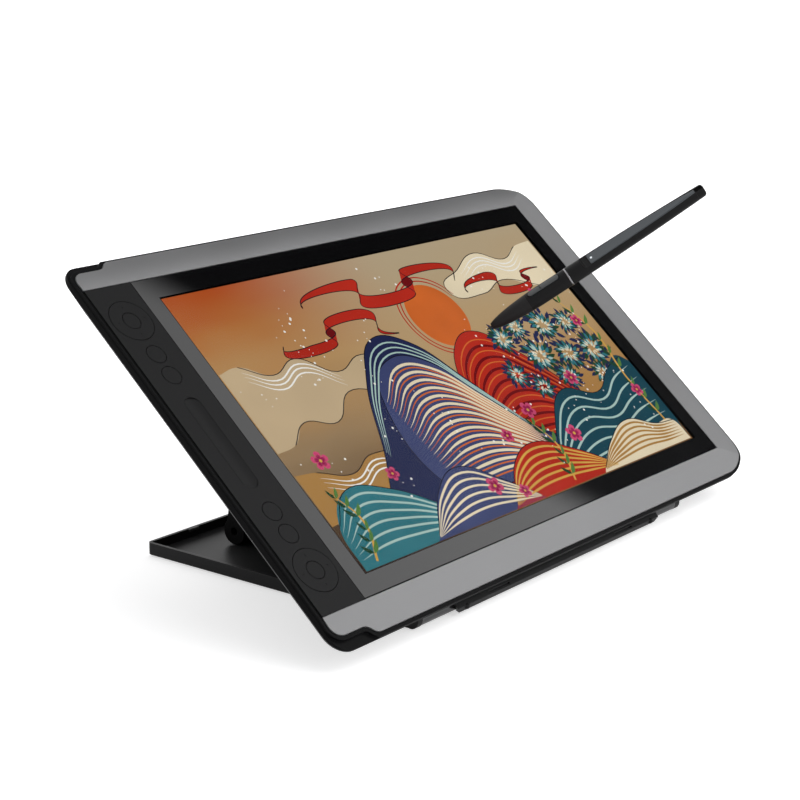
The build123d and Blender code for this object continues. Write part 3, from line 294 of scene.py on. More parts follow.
def lit_ink(name, colour, strength=INK_STRENGTH, tone=0.16):
    """One colour of the lit picture, a little uneven as a painted ground is."""
    material, tree, shader = lit_material(name, strength)
    patches = add(tree, "ShaderNodeGroup", node_tree=MOULDED_GRAIN)
    patches.inputs["Grain Scale"].default_value = INK_GRAIN_SCALE
    patches.inputs["Patch Scale"].default_value = INK_PATCH_SCALE
    dark, pale = shade(colour, 1 - 2 * tone), shade(colour, 1 + tone)
    painted = mix_colour(tree, patches.outputs["Patch"], dark, pale)
    tree.links.new(painted, shader.inputs["Emission Color"])
    shader.inputs["Roughness"].default_value = INK_ROUGHNESS
    return material


def colour_ramp(tree, value, stops):
    ramp = add(tree, "ShaderNodeValToRGB")
    tree.links.new(value, ramp.inputs[0])
    for index, (position, colour) in enumerate(stops):
        stop = ramp.color_ramp.elements[index] if index < 2 else ramp.color_ramp.elements.new(position)
        stop.position = position
        stop.color = colour + (1.0,)
    return ramp.outputs[0]


# The sky's colours from its foot to its top, at the picture's left and right
SKY_LEFT = [(0.0, (0.035, 0.020, 0.014)), (0.16, (0.09, 0.055, 0.032)), (0.42, (0.30, 0.20, 0.105)),
            (0.64, (0.46, 0.26, 0.10)), (0.82, (0.44, 0.165, 0.045)), (1.0, (0.42, 0.075, 0.016))]
SKY_RIGHT = [(0.0, (0.20, 0.10, 0.035)), (0.30, (0.40, 0.21, 0.065)), (0.62, (0.48, 0.33, 0.17)),
             (1.0, (0.46, 0.37, 0.24))]
SKY_STRENGTH = 0.95
# Where the left colours begin and end their change to the right ones, as shares of the width
SKY_TURN_SHARES = (0.08, 0.58)
CLOUD_STRETCH = (7.0, 20.0, 20.0)
CLOUD_SCALE = 1.6
CLOUD_DETAIL = 2.0
CLOUD_DRIFT = 0.22


def sky_ground():
    """The picture's ground: burnt orange down to dark brown at its left, tan down to ochre at its right."""
    material, tree, shader = lit_material("picture sky", SKY_STRENGTH)
    place = add(tree, "ShaderNodeTexCoord")
    split = add(tree, "ShaderNodeSeparateXYZ")
    tree.links.new(place.outputs["Object"], split.inputs[0])
    from_left = maths(tree, "SUBTRACT", split.outputs["X"], SCREEN_CORNER.x)
    along = maths(tree, "DIVIDE", from_left, SCREEN_WIDTH)
    from_foot = maths(tree, "SUBTRACT", split.outputs["Z"], SCREEN_CORNER.z)
    rise = maths(tree, "DIVIDE", from_foot, SCREEN_HEIGHT * UP.z)
    stretched = add(tree, "ShaderNodeVectorMath", operation="MULTIPLY")
    stretched.inputs[1].default_value = CLOUD_STRETCH
    tree.links.new(place.outputs["Object"], stretched.inputs[0])
    clouds = add(tree, "ShaderNodeTexNoise")
    clouds.inputs["Scale"].default_value = CLOUD_SCALE
    clouds.inputs["Detail"].default_value = CLOUD_DETAIL
    tree.links.new(stretched.outputs[0], clouds.inputs["Vector"])
    cloud = maths(tree, "SUBTRACT", clouds.outputs[0], NOISE_MIDDLE)
    drift = maths(tree, "MULTIPLY", cloud, CLOUD_DRIFT)
    height = maths(tree, "ADD", rise, drift)
    side = add(tree, "ShaderNodeMapRange", interpolation_type="SMOOTHSTEP")
    side.inputs["From Min"].default_value, side.inputs["From Max"].default_value = SKY_TURN_SHARES
    tree.links.new(along, side.inputs["Value"])
    left = colour_ramp(tree, height, SKY_LEFT)
    right = colour_ramp(tree, height, SKY_RIGHT)
    tree.links.new(mix_colour(tree, side.outputs[0], left, right), shader.inputs["Emission Color"])
    return material


# Finishes of the imported nodes, by the record's material slots
# edge_light paints each finish's edges: above one a painted highlight, below one painted shade, as on the silver
# band, the console and the keys; the default paints a highlight.
FINISHES = {
    "silver_band": finish("satin silver paint", (0.27, 0.27, 0.275), 0.42, metallic=0.75, specular=0.5,
                          grain_scale=1600, grain_height=0.03, tone=0.04, gloss_change=0.04,
                          edge_radius=0.7 * MM, edge_light=0.12),
    "rim_black": finish("satin black rim", (0.0045, 0.0045, 0.0048), 0.5, specular=0.04, grain_height=0.05,
                        edge_light=2.5),
    "shell_black": finish("textured black shell", (0.021, 0.021, 0.0215), 0.55, specular=0.3,
                          grain_height=0.3, edge_light=2.2),
    "black_steel": finish("black oxide steel", (0.03, 0.03, 0.032), 0.38, metallic=0.8, grain_scale=2500,
                          edge_light=3.5),
    "screen_glass": cover_glass(),
    "border_ink": finish("black border ink", (0.0035, 0.0035, 0.004), 0.5, specular=0.05, grain_height=0.0,
                         tone=0.05, gloss_change=0.0, edge_radius=0.01 * MM, edge_light=1.0),
    "screen_panel": sky_ground(),
    "white_sheet": finish("white diffuser film", (0.8, 0.8, 0.8), 0.5, tone=0.03),
    "circuit_board": finish("green solder mask", (0.02, 0.09, 0.04), 0.35, tone=0.2, patch_scale=90.0),
    "shield_metal": finish("mill aluminium", (0.55, 0.56, 0.57), 0.4, metallic=1.0, grain_scale=400,
                           stretch=(0.05, 1.0, 1.0)),
    "ribbon_film": finish("amber ribbon film", (0.40, 0.18, 0.04), 0.3, tone=0.15),
    "socket_plastic": finish("socket moulding", (0.010, 0.010, 0.010), 0.45, edge_light=3.0),
    "socket_metal": finish("plated socket shell", (0.55, 0.55, 0.54), 0.28, metallic=1.0, grain_scale=2000),
    # The console's edges are painted darker, as painted shade along the gaps round the keys.
    "console_black": finish("satin black console", (0.0118, 0.0118, 0.0123), 0.5, specular=0.07,
                            grain_height=0.06, tone=0.08, edge_light=0.2, edge_radius=0.35 * MM),
    "dome_metal": finish("bright dome metal", (0.65, 0.64, 0.62), 0.25, metallic=1.0),
    "stand_black": finish("textured stand black", (0.018, 0.018, 0.0185), 0.38, specular=0.12,
                          grain_height=0.22, edge_light=3.4, edge_radius=0.5 * MM),
    "catch_grey": finish("grey catch moulding", (0.05, 0.05, 0.05), 0.4, edge_light=2.0),
    "rubber_black": finish("black rubber", (0.012, 0.012, 0.012), 0.8, specular=0.25, grain_height=0.4),
    "barrel_metal": finish("gunmetal barrel", (0.09, 0.09, 0.092), 0.16, metallic=0.85, grain_scale=1800,
                           stretch=(0.08, 1.0, 1.0), edge_light=2.5),
    "shaft_steel": finish("ground steel", (0.42, 0.42, 0.42), 0.25, metallic=1.0, stretch=(1.0, 6.0, 6.0)),
    "pen_rubber": finish("soft pen rubber", (0.021, 0.021, 0.0215), 0.42, specular=0.12, grain_height=0.2),
    "pen_black": finish("satin pen black", (0.014, 0.014, 0.0145), 0.36, specular=0.08, grain_height=0.06,
                        edge_light=2.5),
    "pen_chrome": finish("polished pen ring", (0.24, 0.24, 0.25), 0.08, metallic=1.0, grain_height=0.02),
    "pen_plate": finish("blue grey pen plate", (0.070, 0.077, 0.084), 0.34, metallic=0.6,
                        grain_scale=1800, stretch=(1.0, 1.0, 0.1)),
    "pen_light": lit_ink("pen light window", (0.9, 0.95, 1.0, 1.0), strength=0.9, tone=0.02),
    "coil_ferrite": finish("wound coil", (0.08, 0.03, 0.015), 0.5, grain_scale=3000, grain_height=0.5),
    "battery_foil": finish("battery foil", (0.22, 0.24, 0.42), 0.3, metallic=0.7),
    "nib_plastic": finish("nib moulding", (0.02, 0.02, 0.02), 0.45),
    "rocker_gloss": finish("gloss rocker", (0.045, 0.050, 0.052), 0.3, specular=0.4, coat=0.2,
                           grain_height=0.02, edge_light=3.5),
    "silicone_grey": finish("grey silicone", (0.14, 0.14, 0.14), 0.6),
    # The keys' edges are painted darker, as painted shade along the gaps round them.
    "key_black": finish("satin black key", (0.0118, 0.0118, 0.0123), 0.48, specular=0.07, grain_height=0.05,
                        tone=0.08, edge_light=0.2, edge_radius=0.35 * MM),
}
# Nodes that differ in finish from the rest of their slot. The leg's black is darker than the stand's black as
# painted shade, standing in for the display's shadow over it.
NODE_FINISHES = {
    "support_leg": finish("smooth leg black with painted shade", (0.005, 0.005, 0.0052), 0.55, specular=0.05,
                          grain_height=0.05, edge_light=1.2, edge_radius=0.5 * MM),
}
for entry in frame["record"]["subparts"]:
    mesh = frame["nodes"][entry["node"]].data
    mesh.materials.clear()
    mesh.materials.append(NODE_FINISHES.get(entry["node"], FINISHES[entry["material_slot"]]))


# The lit picture: a made-up hill landscape in flat layers between the panel and the glass. Its places are
# shares of the lit area or millimetres from the lit area's lower left corner
PICTURE_LAYER = 0.018 * MM
PICTURE_FIRST = -PANEL_FRONT + PICTURE_LAYER
STROKE_FLATNESS = 0.0015
FILL_STEPS = 8
STROKE_STEPS = 7
OUTLINE_RADIUS = 0.30
OUTLINE_RISE = 0.3
WIDE = SCREEN_WIDTH / MM
HIGH = SCREEN_HEIGHT / MM

INKS = {
    "navy": lit_ink("picture navy", (0.020, 0.026, 0.085, 1)),
    "slate": lit_ink("picture slate", (0.055, 0.070, 0.18, 1)),
    "cream": lit_ink("picture cream", (0.86, 0.74, 0.52, 1), tone=0.08),
    "teal": lit_ink("picture teal", (0.035, 0.20, 0.24, 1)),
    "deep teal": lit_ink("picture deep teal", (0.012, 0.065, 0.095, 1)),
    "pale teal": lit_ink("picture pale teal", (0.42, 0.60, 0.55, 1), tone=0.08),
    "red": lit_ink("picture red", (0.50, 0.028, 0.016, 1)),
    "dark red": lit_ink("picture dark red", (0.17, 0.008, 0.010, 1)),
    "orange": lit_ink("picture orange", (0.68, 0.15, 0.03, 1)),
    "pink": lit_ink("picture pink", (0.66, 0.075, 0.19, 1)),
    "magenta": lit_ink("picture magenta", (0.34, 0.02, 0.09, 1)),
    "green": lit_ink("picture green", (0.10, 0.24, 0.055, 1)),
    "dark green": lit_ink("picture dark green", (0.018, 0.065, 0.030, 1)),
    "gold": lit_ink("picture gold", (0.72, 0.42, 0.08, 1)),
    "tan": lit_ink("picture tan", (0.57, 0.43, 0.26, 1), tone=0.08),
    "ochre": lit_ink("picture ochre", (0.45, 0.24, 0.07, 1), tone=0.10),
    "line": lit_ink("picture line", (0.010, 0.010, 0.016, 1), tone=0.02),
    "white": lit_ink("picture white", (0.92, 0.90, 0.84, 1), tone=0.03),
}


def on_screen(layer, scale_out=1.0):
    """From millimetres on the lit area to its place, on one of the picture's layers."""
    return (SCREEN_PLACE @ Matrix.Translation((0, 0, PICTURE_FIRST + layer * PICTURE_LAYER))
            @ Matrix.Diagonal((MM, MM, MM * scale_out, 1)))


def settle(name, mesh, ink, layer, scale_out=1.0):
    """Makes a flat mesh a piece of the picture that rides on the display."""
    mesh.transform(on_screen(layer, scale_out))
    piece = bpy.data.objects.new(name, mesh)
    bpy.context.scene.collection.objects.link(piece)
    mesh.materials.clear()
    mesh.materials.append(INKS[ink])
    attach(piece, "display")


def mesh_of(shape, name):
    mesh = bpy.data.meshes.new(name)
    shape.to_mesh(mesh)
    shape.free()
    return mesh


def mesh_of_curve(curve, name):
    holder = bpy.data.objects.new("curve_holder", curve)
    bpy.context.scene.collection.objects.link(holder)
    bpy.context.view_layer.update()
    mesh = bpy.data.meshes.new_from_object(holder.evaluated_get(bpy.context.evaluated_depsgraph_get()))
    bpy.data.objects.remove(holder)
    bpy.data.curves.remove(curve)
    mesh.name = name
    return mesh


def smooth_spline(curve, points, radii=None, closed=False, square_from=None):
    spline = curve.splines.new("BEZIER")
    spline.bezier_points.add(len(points) - 1)
    for index, (x, y) in enumerate(points):
        knot = spline.bezier_points[index]
        knot.co = (x, y, 0)
        square = square_from is not None and index >= square_from
        knot.handle_left_type = knot.handle_right_type = "VECTOR" if square else "AUTO"
        if radii:
            knot.radius = radii[index]
    spline.use_cyclic_u = closed


# The edges of the fills by layer, drawn last as dark lines
outlines = {}


def paint_fill(name, outline, ink, layer, square_from=None):
    """A flat closed shape of one ink, smooth up to the point from which its corners are square."""
    curve = bpy.data.curves.new(name, "CURVE")
    curve.dimensions = "2D"
    curve.fill_mode = "BOTH"
    curve.resolution_u = FILL_STEPS
    smooth_spline(curve, outline, closed=True, square_from=square_from)
    drawn = outline[:square_from]
    outlines.setdefault(layer, []).append((drawn, [OUTLINE_RADIUS] * len(drawn), square_from is None))
    settle(name, mesh_of_curve(curve, name), ink, layer)


def paint_strokes(name, strokes, ink, layer):
    """Brush strokes of one ink, each given as its points and half widths, and whether it closes."""
    curve = bpy.data.curves.new(name, "CURVE")
    curve.dimensions = "3D"
    curve.resolution_u = STROKE_STEPS
    curve.bevel_depth = 1.0
    curve.bevel_resolution = 0
    curve.use_fill_caps = True
    for points, radii, *closed in strokes:
        smooth_spline(curve, points, radii, closed=any(closed))
    settle(name, mesh_of_curve(curve, name), ink, layer, STROKE_FLATNESS)


def paint_discs(name, discs, ink, layer, sides):
    shape = bmesh.new()
    for x, y, radius in discs:
        bmesh.ops.create_circle(shape, cap_ends=True, segments=sides, radius=radius,
                                matrix=Matrix.Translation((x, y, 0)))
    settle(name, mesh_of(shape, name), ink, layer)


LEAF_SHARES = (0, 0.3, 0.65, 1)
LEAF_STALK = 0.15
LEAF_TAPER_SHARE = 0.8
LEAF_TIP = 0.02
LEAF_BEND = 0.25
LEAF_FULLNESS = 0.16


def leaf(x, y, length, heading, bend=LEAF_BEND, fullness=LEAF_FULLNESS):
    """A leaf as one tapered stroke that starts at its stem."""
    ahead = Vector((cos(heading), sin(heading)))
    side = Vector((-ahead.y, ahead.x))
    root = Vector((x, y))
    broad = length * fullness
    points = [root + ahead * length * share + side * length * bend * share ** 2
              for share in LEAF_SHARES]
    return [tuple(point) for point in points], [LEAF_STALK, broad, broad * LEAF_TAPER_SHARE, LEAF_TIP]


PETALS = 5
PETAL_SHARES = (0.08, 0.5, 0.82, 1)
PETAL_WIDTH_SHARES = (0.1, 0.34, 0.36, 0.12)


def blossom(x, y, radius, turn):
    """Broad petals round a middle, as strokes."""
    strokes = []
    for index in range(PETALS):
        angle = turn + 2 * pi * index / PETALS
        points = [(x + radius * share * cos(angle), y + radius * share * sin(angle))
                  for share in PETAL_SHARES]
        strokes.append((points, [radius * share for share in PETAL_WIDTH_SHARES]))
    return strokes


def between(first, second, share):
    return [((1 - share) * x1 + share * x2, (1 - share) * y1 + share * y2)
            for (x1, y1), (x2, y2) in zip(first, second)]


def scaled(shares):
    """Points given as shares of the picture's width and height, in millimetres."""
    return [(x * WIDE, y * HIGH) for x, y in shares]


def tipped(count, width, tip):
    """A stroke's half widths: the same all along, and thin at both ends."""
    return [tip] + [width] * (count - 2) + [tip]


BANK_LINE_DROPS = (4.0, 7.0, 10.5)
BANK_LINE_RADII = tipped(4, 0.5, 0.05)


def paint_banks():
    """Cloud banks with wavy edges and paler lines that follow them."""
    banks = [
        ("left", "tan", [(0.05, 0.72), (0.11, 0.665), (0.18, 0.70), (0.25, 0.62), (0.33, 0.655),
                         (0.41, 0.58), (0.33, 0.52), (0.24, 0.545), (0.17, 0.46), (0.10, 0.49),
                         (0.05, 0.43), (0.003, 0.42), (0.003, 0.71)]),
        ("right", "cream", [(0.94, 0.91), (0.88, 0.87), (0.81, 0.92), (0.73, 0.87), (0.66, 0.80),
                            (0.75, 0.755), (0.83, 0.79), (0.93, 0.73), (0.997, 0.74), (0.997, 0.92)]),
        ("low", "ochre", [(0.05, 0.33), (0.12, 0.29), (0.19, 0.33), (0.27, 0.27), (0.20, 0.20),
                          (0.11, 0.23), (0.05, 0.17), (0.003, 0.16), (0.003, 0.34)]),
    ]
    for side, ink, shares in banks:
        paint_fill(f"picture_{side}_bank", scaled(shares), ink, layer=0, square_from=len(shares) - 2)
    lines = []
    for side, ink, shares in banks:
        top = scaled(shares[:len(BANK_LINE_RADII)])
        for drop in BANK_LINE_DROPS:
            lines.append(([(x, y - drop) for x, y in top], BANK_LINE_RADII))
    paint_strokes("picture_bank_lines", lines, "white", layer=1)


SUN_SHARES = [(0.585, 0.72)]
SUN_RADIUS = 25
SUN_RING_RADII = (28, 31)
SUN_SIDES = 64
RING_TURN = pi / 8
RING_STEPS = range(1, 15)
RING_WIDTH = 0.5
RING_TIP = 0.2


def paint_sun():
    """A round sun with two open rings."""
    x, y = scaled(SUN_SHARES)[0]
    paint_discs("picture_sun", [(x, y, SUN_RADIUS)], "orange", layer=0, sides=SUN_SIDES)
    rings = []
    for radius in SUN_RING_RADII:
        ring = [(x + radius * cos(step * RING_TURN), y + radius * sin(step * RING_TURN))
                for step in RING_STEPS]
        rings.append((ring, tipped(len(ring), RING_WIDTH, RING_TIP)))
    paint_strokes("picture_sun_rings", rings, "red", layer=0)


FURROW_TIP = 0.08
FACE_SHARE = 0.14


def paint_furrows(name, slope, ink, layer, first, step, count, width):
    """Strokes between a slope's crest and foot, from a first share of the way down by equal steps."""
    crest, foot = slope
    radii = tipped(len(crest), width, FURROW_TIP)
    furrows = [(between(crest, foot, first + step * index), radii) for index in range(count)]
    paint_strokes(name, furrows, ink, layer)


def paint_ridges():
    """A red ridge and, before it, a navy one, with furrows that follow their crests."""
    red_crest = scaled([(0.44, 0.10), (0.50, 0.42), (0.57, 0.60), (0.64, 0.63), (0.71, 0.52), (0.80, 0.30),
                        (0.90, 0.12)])
    red_foot = scaled([(0.44, 0.06), (0.52, 0.08), (0.59, 0.09), (0.66, 0.09), (0.73, 0.08), (0.81, 0.07),
                       (0.90, 0.06)])
    red_slope = red_crest[1:-1], red_foot[1:-1]
    paint_fill("picture_red_ridge", red_crest + red_foot[::-1], "red", layer=1)
    paint_furrows("picture_red_furrows", red_slope, "dark red", layer=2,
                  first=0.12, step=0.09, count=9, width=1.0)
    paint_furrows("picture_red_lights", red_slope, "orange", layer=2,
                  first=0.07, step=0.09, count=9, width=0.45)
    crest = scaled([(0.15, 0.10), (0.22, 0.33), (0.30, 0.57), (0.385, 0.70), (0.46, 0.655), (0.53, 0.47),
                    (0.60, 0.26), (0.70, 0.10)])
    foot = scaled([(0.16, 0.06), (0.25, 0.08), (0.33, 0.09), (0.42, 0.09), (0.49, 0.09), (0.56, 0.08),
                   (0.63, 0.07), (0.71, 0.06)])
    whole_slope, near_slope = (crest[1:-1], foot[1:-1]), (crest[2:-1], foot[2:-1])
    paint_fill("picture_ridge", crest + foot[::-1], "navy", layer=3)
    face = between(crest, foot, FACE_SHARE)
    paint_fill("picture_ridge_face", face[2:] + foot[:1:-1], "slate", layer=3.6)
    paint_furrows("picture_furrows", near_slope, "cream", layer=4.4,
                  first=0.20, step=0.055, count=14, width=1.0)
    paint_furrows("picture_furrow_glow", near_slope, "orange", layer=4.4,
                  first=0.225, step=0.055, count=14, width=0.5)
    paint_furrows("picture_crest_light", whole_slope, "pale teal", layer=4.4,
                  first=0.05, step=0.035, count=3, width=0.55)


# A hill's square corners lie this far past its ends and this high over the picture's foot. Its lines are
# spread down towards a base, in a layer of their own before it
SOLE_SHARE = 0.01
SOLE_HEIGHT_SHARE = 0.004
HILL_BASE_SHARE = 0.012
HILL_LINE_RISE = 0.8


def paint_hills():
    """Rolling hills along the lower edge, each with lines that follow its top."""
    hills = [
        ("far_hill", "teal", "pale teal", 5,
         [(0.015, 0.15), (0.08, 0.25), (0.17, 0.21), (0.26, 0.10), (0.32, 0.015)]),
        ("right_hill", "deep teal", "pale teal", 5,
         [(0.58, 0.02), (0.66, 0.22), (0.75, 0.33), (0.84, 0.28), (0.92, 0.35), (0.985, 0.38)]),
        ("middle_hill", "slate", "cream", 6,
         [(0.20, 0.02), (0.27, 0.15), (0.35, 0.20), (0.43, 0.11), (0.49, 0.02)]),
        ("red_hill", "red", "gold", 6,
         [(0.42, 0.02), (0.49, 0.15), (0.57, 0.19), (0.66, 0.12), (0.74, 0.02)]),
        ("near_hill", "cream", "ochre", 6.6,
         [(0.70, 0.02), (0.77, 0.10), (0.86, 0.15), (0.93, 0.10), (0.985, 0.09)]),
    ]
    for name, ink, line_ink, layer, shares in hills:
        sole = [(shares[-1][0] + SOLE_SHARE, SOLE_HEIGHT_SHARE),
                (shares[0][0] - SOLE_SHARE, SOLE_HEIGHT_SHARE)]
        outline = scaled(shares + sole)
        paint_fill(f"picture_{name}", outline, ink, layer, square_from=len(outline) - 2)
        top = scaled(shares)
        base = [(x, HILL_BASE_SHARE * HIGH) for x, y in top]
        paint_furrows(f"picture_{name}_lines", (top, base), line_ink, layer + HILL_LINE_RISE,
                      first=0.12, step=0.14, count=6, width=0.75)


GROVE_SEED = 5
GROVE_INKS = ("navy", "dark green", "teal", "pale teal", "cream")
# Each layer of leaves lies a step in front of the last, on smaller heads with fewer leaves
GROVE_FIRST_LAYER = 2.4
GROVE_LAYER_STEP = 0.45
GROVE_SHRINK_SHARE = 0.15
GROVE_LEAVES = 17
GROVE_LEAVES_FEWER = 2
GROVE_JITTER_SHARE = 0.7
GROVE_STEM_SHARES = (0.2, 0.62)
GROVE_LEAF_SHARE = 0.48
GROVE_FULLNESS = 0.22


def paint_grove():
    """A grove of round heads, whose leaves point outwards from each head's middle."""
    random.seed(GROVE_SEED)
    heads = [(0.70, 0.57, 15), (0.765, 0.47, 19), (0.84, 0.58, 17), (0.925, 0.44, 18), (0.665, 0.43, 13),
             (0.76, 0.60, 13), (0.85, 0.45, 16), (0.91, 0.57, 13), (0.80, 0.37, 14), (0.71, 0.36, 12),
             (0.90, 0.34, 14)]
    for depth, ink in enumerate(GROVE_INKS):
        leaves = []
        for x, y, radius in heads:
            reach = radius * (1 - GROVE_SHRINK_SHARE * depth)
            count = GROVE_LEAVES - GROVE_LEAVES_FEWER * depth
            for step in range(count):
                heading = 2 * pi * (step + GROVE_JITTER_SHARE * random.random()) / count
                start = reach * random.uniform(*GROVE_STEM_SHARES)
                leaves.append(leaf(x * WIDE + start * cos(heading), y * HIGH + start * sin(heading),
                                   reach * GROVE_LEAF_SHARE, heading, fullness=GROVE_FULLNESS))
        paint_strokes(f"picture_grove_{depth}", leaves, ink, GROVE_FIRST_LAYER + GROVE_LAYER_STEP * depth)


RIBBON_STEPS = 72
# A ribbon's breadth at its two ends, and how fast it grows from there
RIBBON_END_SHARES = (0.1, 0.05)
RIBBON_GROWTH = (4, 3)


def ribbon(start, length, height, swing, curl, waves, phase, across, rise):
    """The two edges of a flying ribbon: one slow wave drawn twice, a constant way apart but at its ends."""
    lower, upper = [], []
    for step in range(RIBBON_STEPS + 1):
        share = step / RIBBON_STEPS
        turn = 2 * pi * waves * share + phase
        x = (start + length * share) * WIDE - curl * sin(2 * turn)
        y = height * HIGH + swing * sin(turn)
        reach = min(1.0, RIBBON_END_SHARES[0] + RIBBON_GROWTH[0] * share,
                    RIBBON_END_SHARES[1] + RIBBON_GROWTH[1] * (1 - share))
        lower.append((x, y))
        upper.append((x + across * reach, y + rise * reach))
    return lower, upper


def facing(lower, next_lower, upper):
    """Above zero where a ribbon shows its front, and below zero where it shows its back."""
    along_x, along_y = next_lower[0] - lower[0], next_lower[1] - lower[1]
    return along_x * (upper[1] - lower[1]) - along_y * (upper[0] - lower[0])


def paint_streamers():
    """Red ribbons that fly across the top, with dark backs where they turn over."""
    ribbons = (("upper", ribbon(0.30, 0.42, 0.845, 9.5, 12.0, 1.5, 0.3, 5.5, 9.0)),
               ("middle", ribbon(0.16, 0.31, 0.735, 8.5, 10.0, 1.25, 2.9, 4.4, 7.2)),
               ("lower", ribbon(0.72, 0.23, 0.765, 8.0, 8.5, 1.25, 0.2, 3.4, 6.2)))
    for name, (lower, upper) in ribbons:
        for side, ink, layer, sign in (("back", "dark red", 1.5, -1), ("front", "red", 1.9, 1)):
            shape = bmesh.new()
            for corners in zip(lower, lower[1:], upper[1:], upper):
                if facing(corners[0], corners[1], corners[3]) * sign > 0:
                    shape.faces.new([shape.verts.new((*corner, 0)) for corner in corners[::sign]])
            piece = f"picture_{name}_streamer_{side}"
            settle(piece, mesh_of(shape, piece), ink, layer)
        thin = [OUTLINE_RADIUS] * len(lower)
        edges = [(lower, thin), (upper, thin)]
        paint_strokes(f"picture_{name}_streamer_line", edges, "line", layer=2.0)


STEM_RADIUS = 0.8
STEM_TIP = 0.2
STEM_LEAF_SHARES = (0.2, 0.5, 0.8)
# A leaf's length and heading at the start of a part of its stem, and what they gain along that part
LIGHT_LEAF = (11, 28, -4, 20)
DARK_LEAF = (10, 150, -3, -24)


def stem_leaf(x, y, share, kind, bend):
    length, heading, length_gain, heading_gain = kind
    return leaf(x, y, length + length_gain * share, radians(heading + heading_gain * share), bend)


def paint_leaves():
    """Leafy stems at the right, at the lower left and low in the middle, with light and dark leaves."""
    stems = [[(0.965, 0.10), (0.955, 0.30), (0.97, 0.50), (0.93, 0.68)],
             [(0.04, 0.02), (0.07, 0.14), (0.045, 0.26)],
             [(0.60, 0.02), (0.625, 0.14), (0.60, 0.27)]]
    light, dark, lines = [], [], []
    for shares in stems:
        points = scaled(shares)
        lines.append((points, [STEM_RADIUS] * (len(points) - 1) + [STEM_TIP]))
        for start, end in zip(points, points[1:]):
            for share in STEM_LEAF_SHARES:
                x = start[0] + (end[0] - start[0]) * share
                y = start[1] + (end[1] - start[1]) * share
                light.append(stem_leaf(x, y, share, LIGHT_LEAF, LEAF_BEND))
                dark.append(stem_leaf(x, y, share, DARK_LEAF, -LEAF_BEND))
    paint_strokes("picture_stems", lines, "gold", layer=7.5)
    paint_strokes("picture_dark_leaves", dark, "dark green", layer=7.5)
    paint_strokes("picture_light_leaves", light, "green", layer=7.9)


FOLD_SHARE = 0.62
MIDDLE_SHARE = 0.17
MIDDLE_SIDES = 12


def paint_blossoms():
    """Pink blossoms with darker folds and gold middles, each given by its place, radius and turn."""
    places = [(0.075, 0.36, 6.5, 0.2), (0.20, 0.25, 5.0, 0.9), (0.885, 0.70, 6.0, 0.4),
              (0.945, 0.56, 5.2, 1.1), (0.80, 0.36, 6.0, 0.1), (0.62, 0.30, 6.4, 0.7),
              (0.52, 0.24, 5.2, 0.3), (0.955, 0.24, 5.4, 0.5), (0.40, 0.10, 6.6, 0.8),
              (0.69, 0.17, 6.8, 0.0), (0.46, 0.05, 5.0, 0.4)]
    petals, folds, middles = [], [], []
    for x, y, radius, turn in places:
        petals += blossom(x * WIDE, y * HIGH, radius, turn)
        folds += blossom(x * WIDE, y * HIGH, radius * FOLD_SHARE, turn)
        middles.append((x * WIDE, y * HIGH, radius * MIDDLE_SHARE))
    paint_strokes("picture_petals", petals, "pink", layer=8.2)
    paint_strokes("picture_petal_folds", folds, "magenta", layer=8.6)
    paint_discs("picture_blossom_middles", middles, "gold", layer=9.0, sides=MIDDLE_SIDES)


SPECK_SEED = 21
SPECK_CLUSTERS = 34
SPECKS_IN_CLUSTER = 6
SPECK_SIDES = 8
SPECK_RADII = (0.35, 0.5, 0.85)
SPECK_EDGE = 2
SPECK_SPREAD_ACROSS = 9
SPECK_SPREAD_UP = 8
CLUSTER_ACROSS_SHARES = (0.03, 0.97)
CLUSTER_UP_SHARES = (0.05, 0.95)


def paint_specks():
    """White specks in loose clusters, kept a little inside the picture's edges."""
    random.seed(SPECK_SEED)
    specks = []
    for cluster in range(SPECK_CLUSTERS):
        x = random.uniform(*CLUSTER_ACROSS_SHARES) * WIDE
        y = random.uniform(*CLUSTER_UP_SHARES) * HIGH
        for speck in range(SPECKS_IN_CLUSTER):
            speck_x = min(WIDE - SPECK_EDGE, max(SPECK_EDGE, x + random.gauss(0, SPECK_SPREAD_ACROSS)))
            speck_y = min(HIGH - SPECK_EDGE, max(SPECK_EDGE, y + random.gauss(0, SPECK_SPREAD_UP)))
            specks.append((speck_x, speck_y, random.choice(SPECK_RADII)))
    paint_discs("picture_specks", specks, "white", layer=9.2, sides=SPECK_SIDES)


paint_banks()
paint_sun()
paint_ridges()
paint_hills()
paint_grove()
paint_streamers()
paint_leaves()
paint_blossoms()
paint_specks()
for layer, strokes in outlines.items():
    paint_strokes(f"picture_outlines_{layer}", strokes, "line", layer + OUTLINE_RISE)


# Camera, turned by its heading, pitch and roll
def camera_turn():
    return (Matrix.Rotation(-CAMERA_HEADING, 4, "Z") @ Matrix.Rotation(pi / 2 - CAMERA_PITCH, 4, "X")
            @ Matrix.Rotation(CAMERA_ROLL, 4, "Z"))


camera = bpy.data.objects.new("camera", bpy.data.cameras.new("camera"))
camera.data.lens = CAMERA_LENS
camera.data.sensor_width = SENSOR_WIDTH
camera.data.clip_start = CAMERA_NEAR
camera.matrix_world = Matrix.Translation(CAMERA_PLACE) @ camera_turn()
bpy.context.scene.collection.objects.link(camera)
bpy.context.scene.camera = camera

# Studio: a pale floor, a card with one lit band that the glass mirrors, and soft lamps
FLOOR_SIZE = 60.0
FLOOR_DROP = 0.1 * MM
FLOOR_COLOUR = (0.78, 0.78, 0.785, 1.0)
FLOOR_ROUGHNESS = 0.9
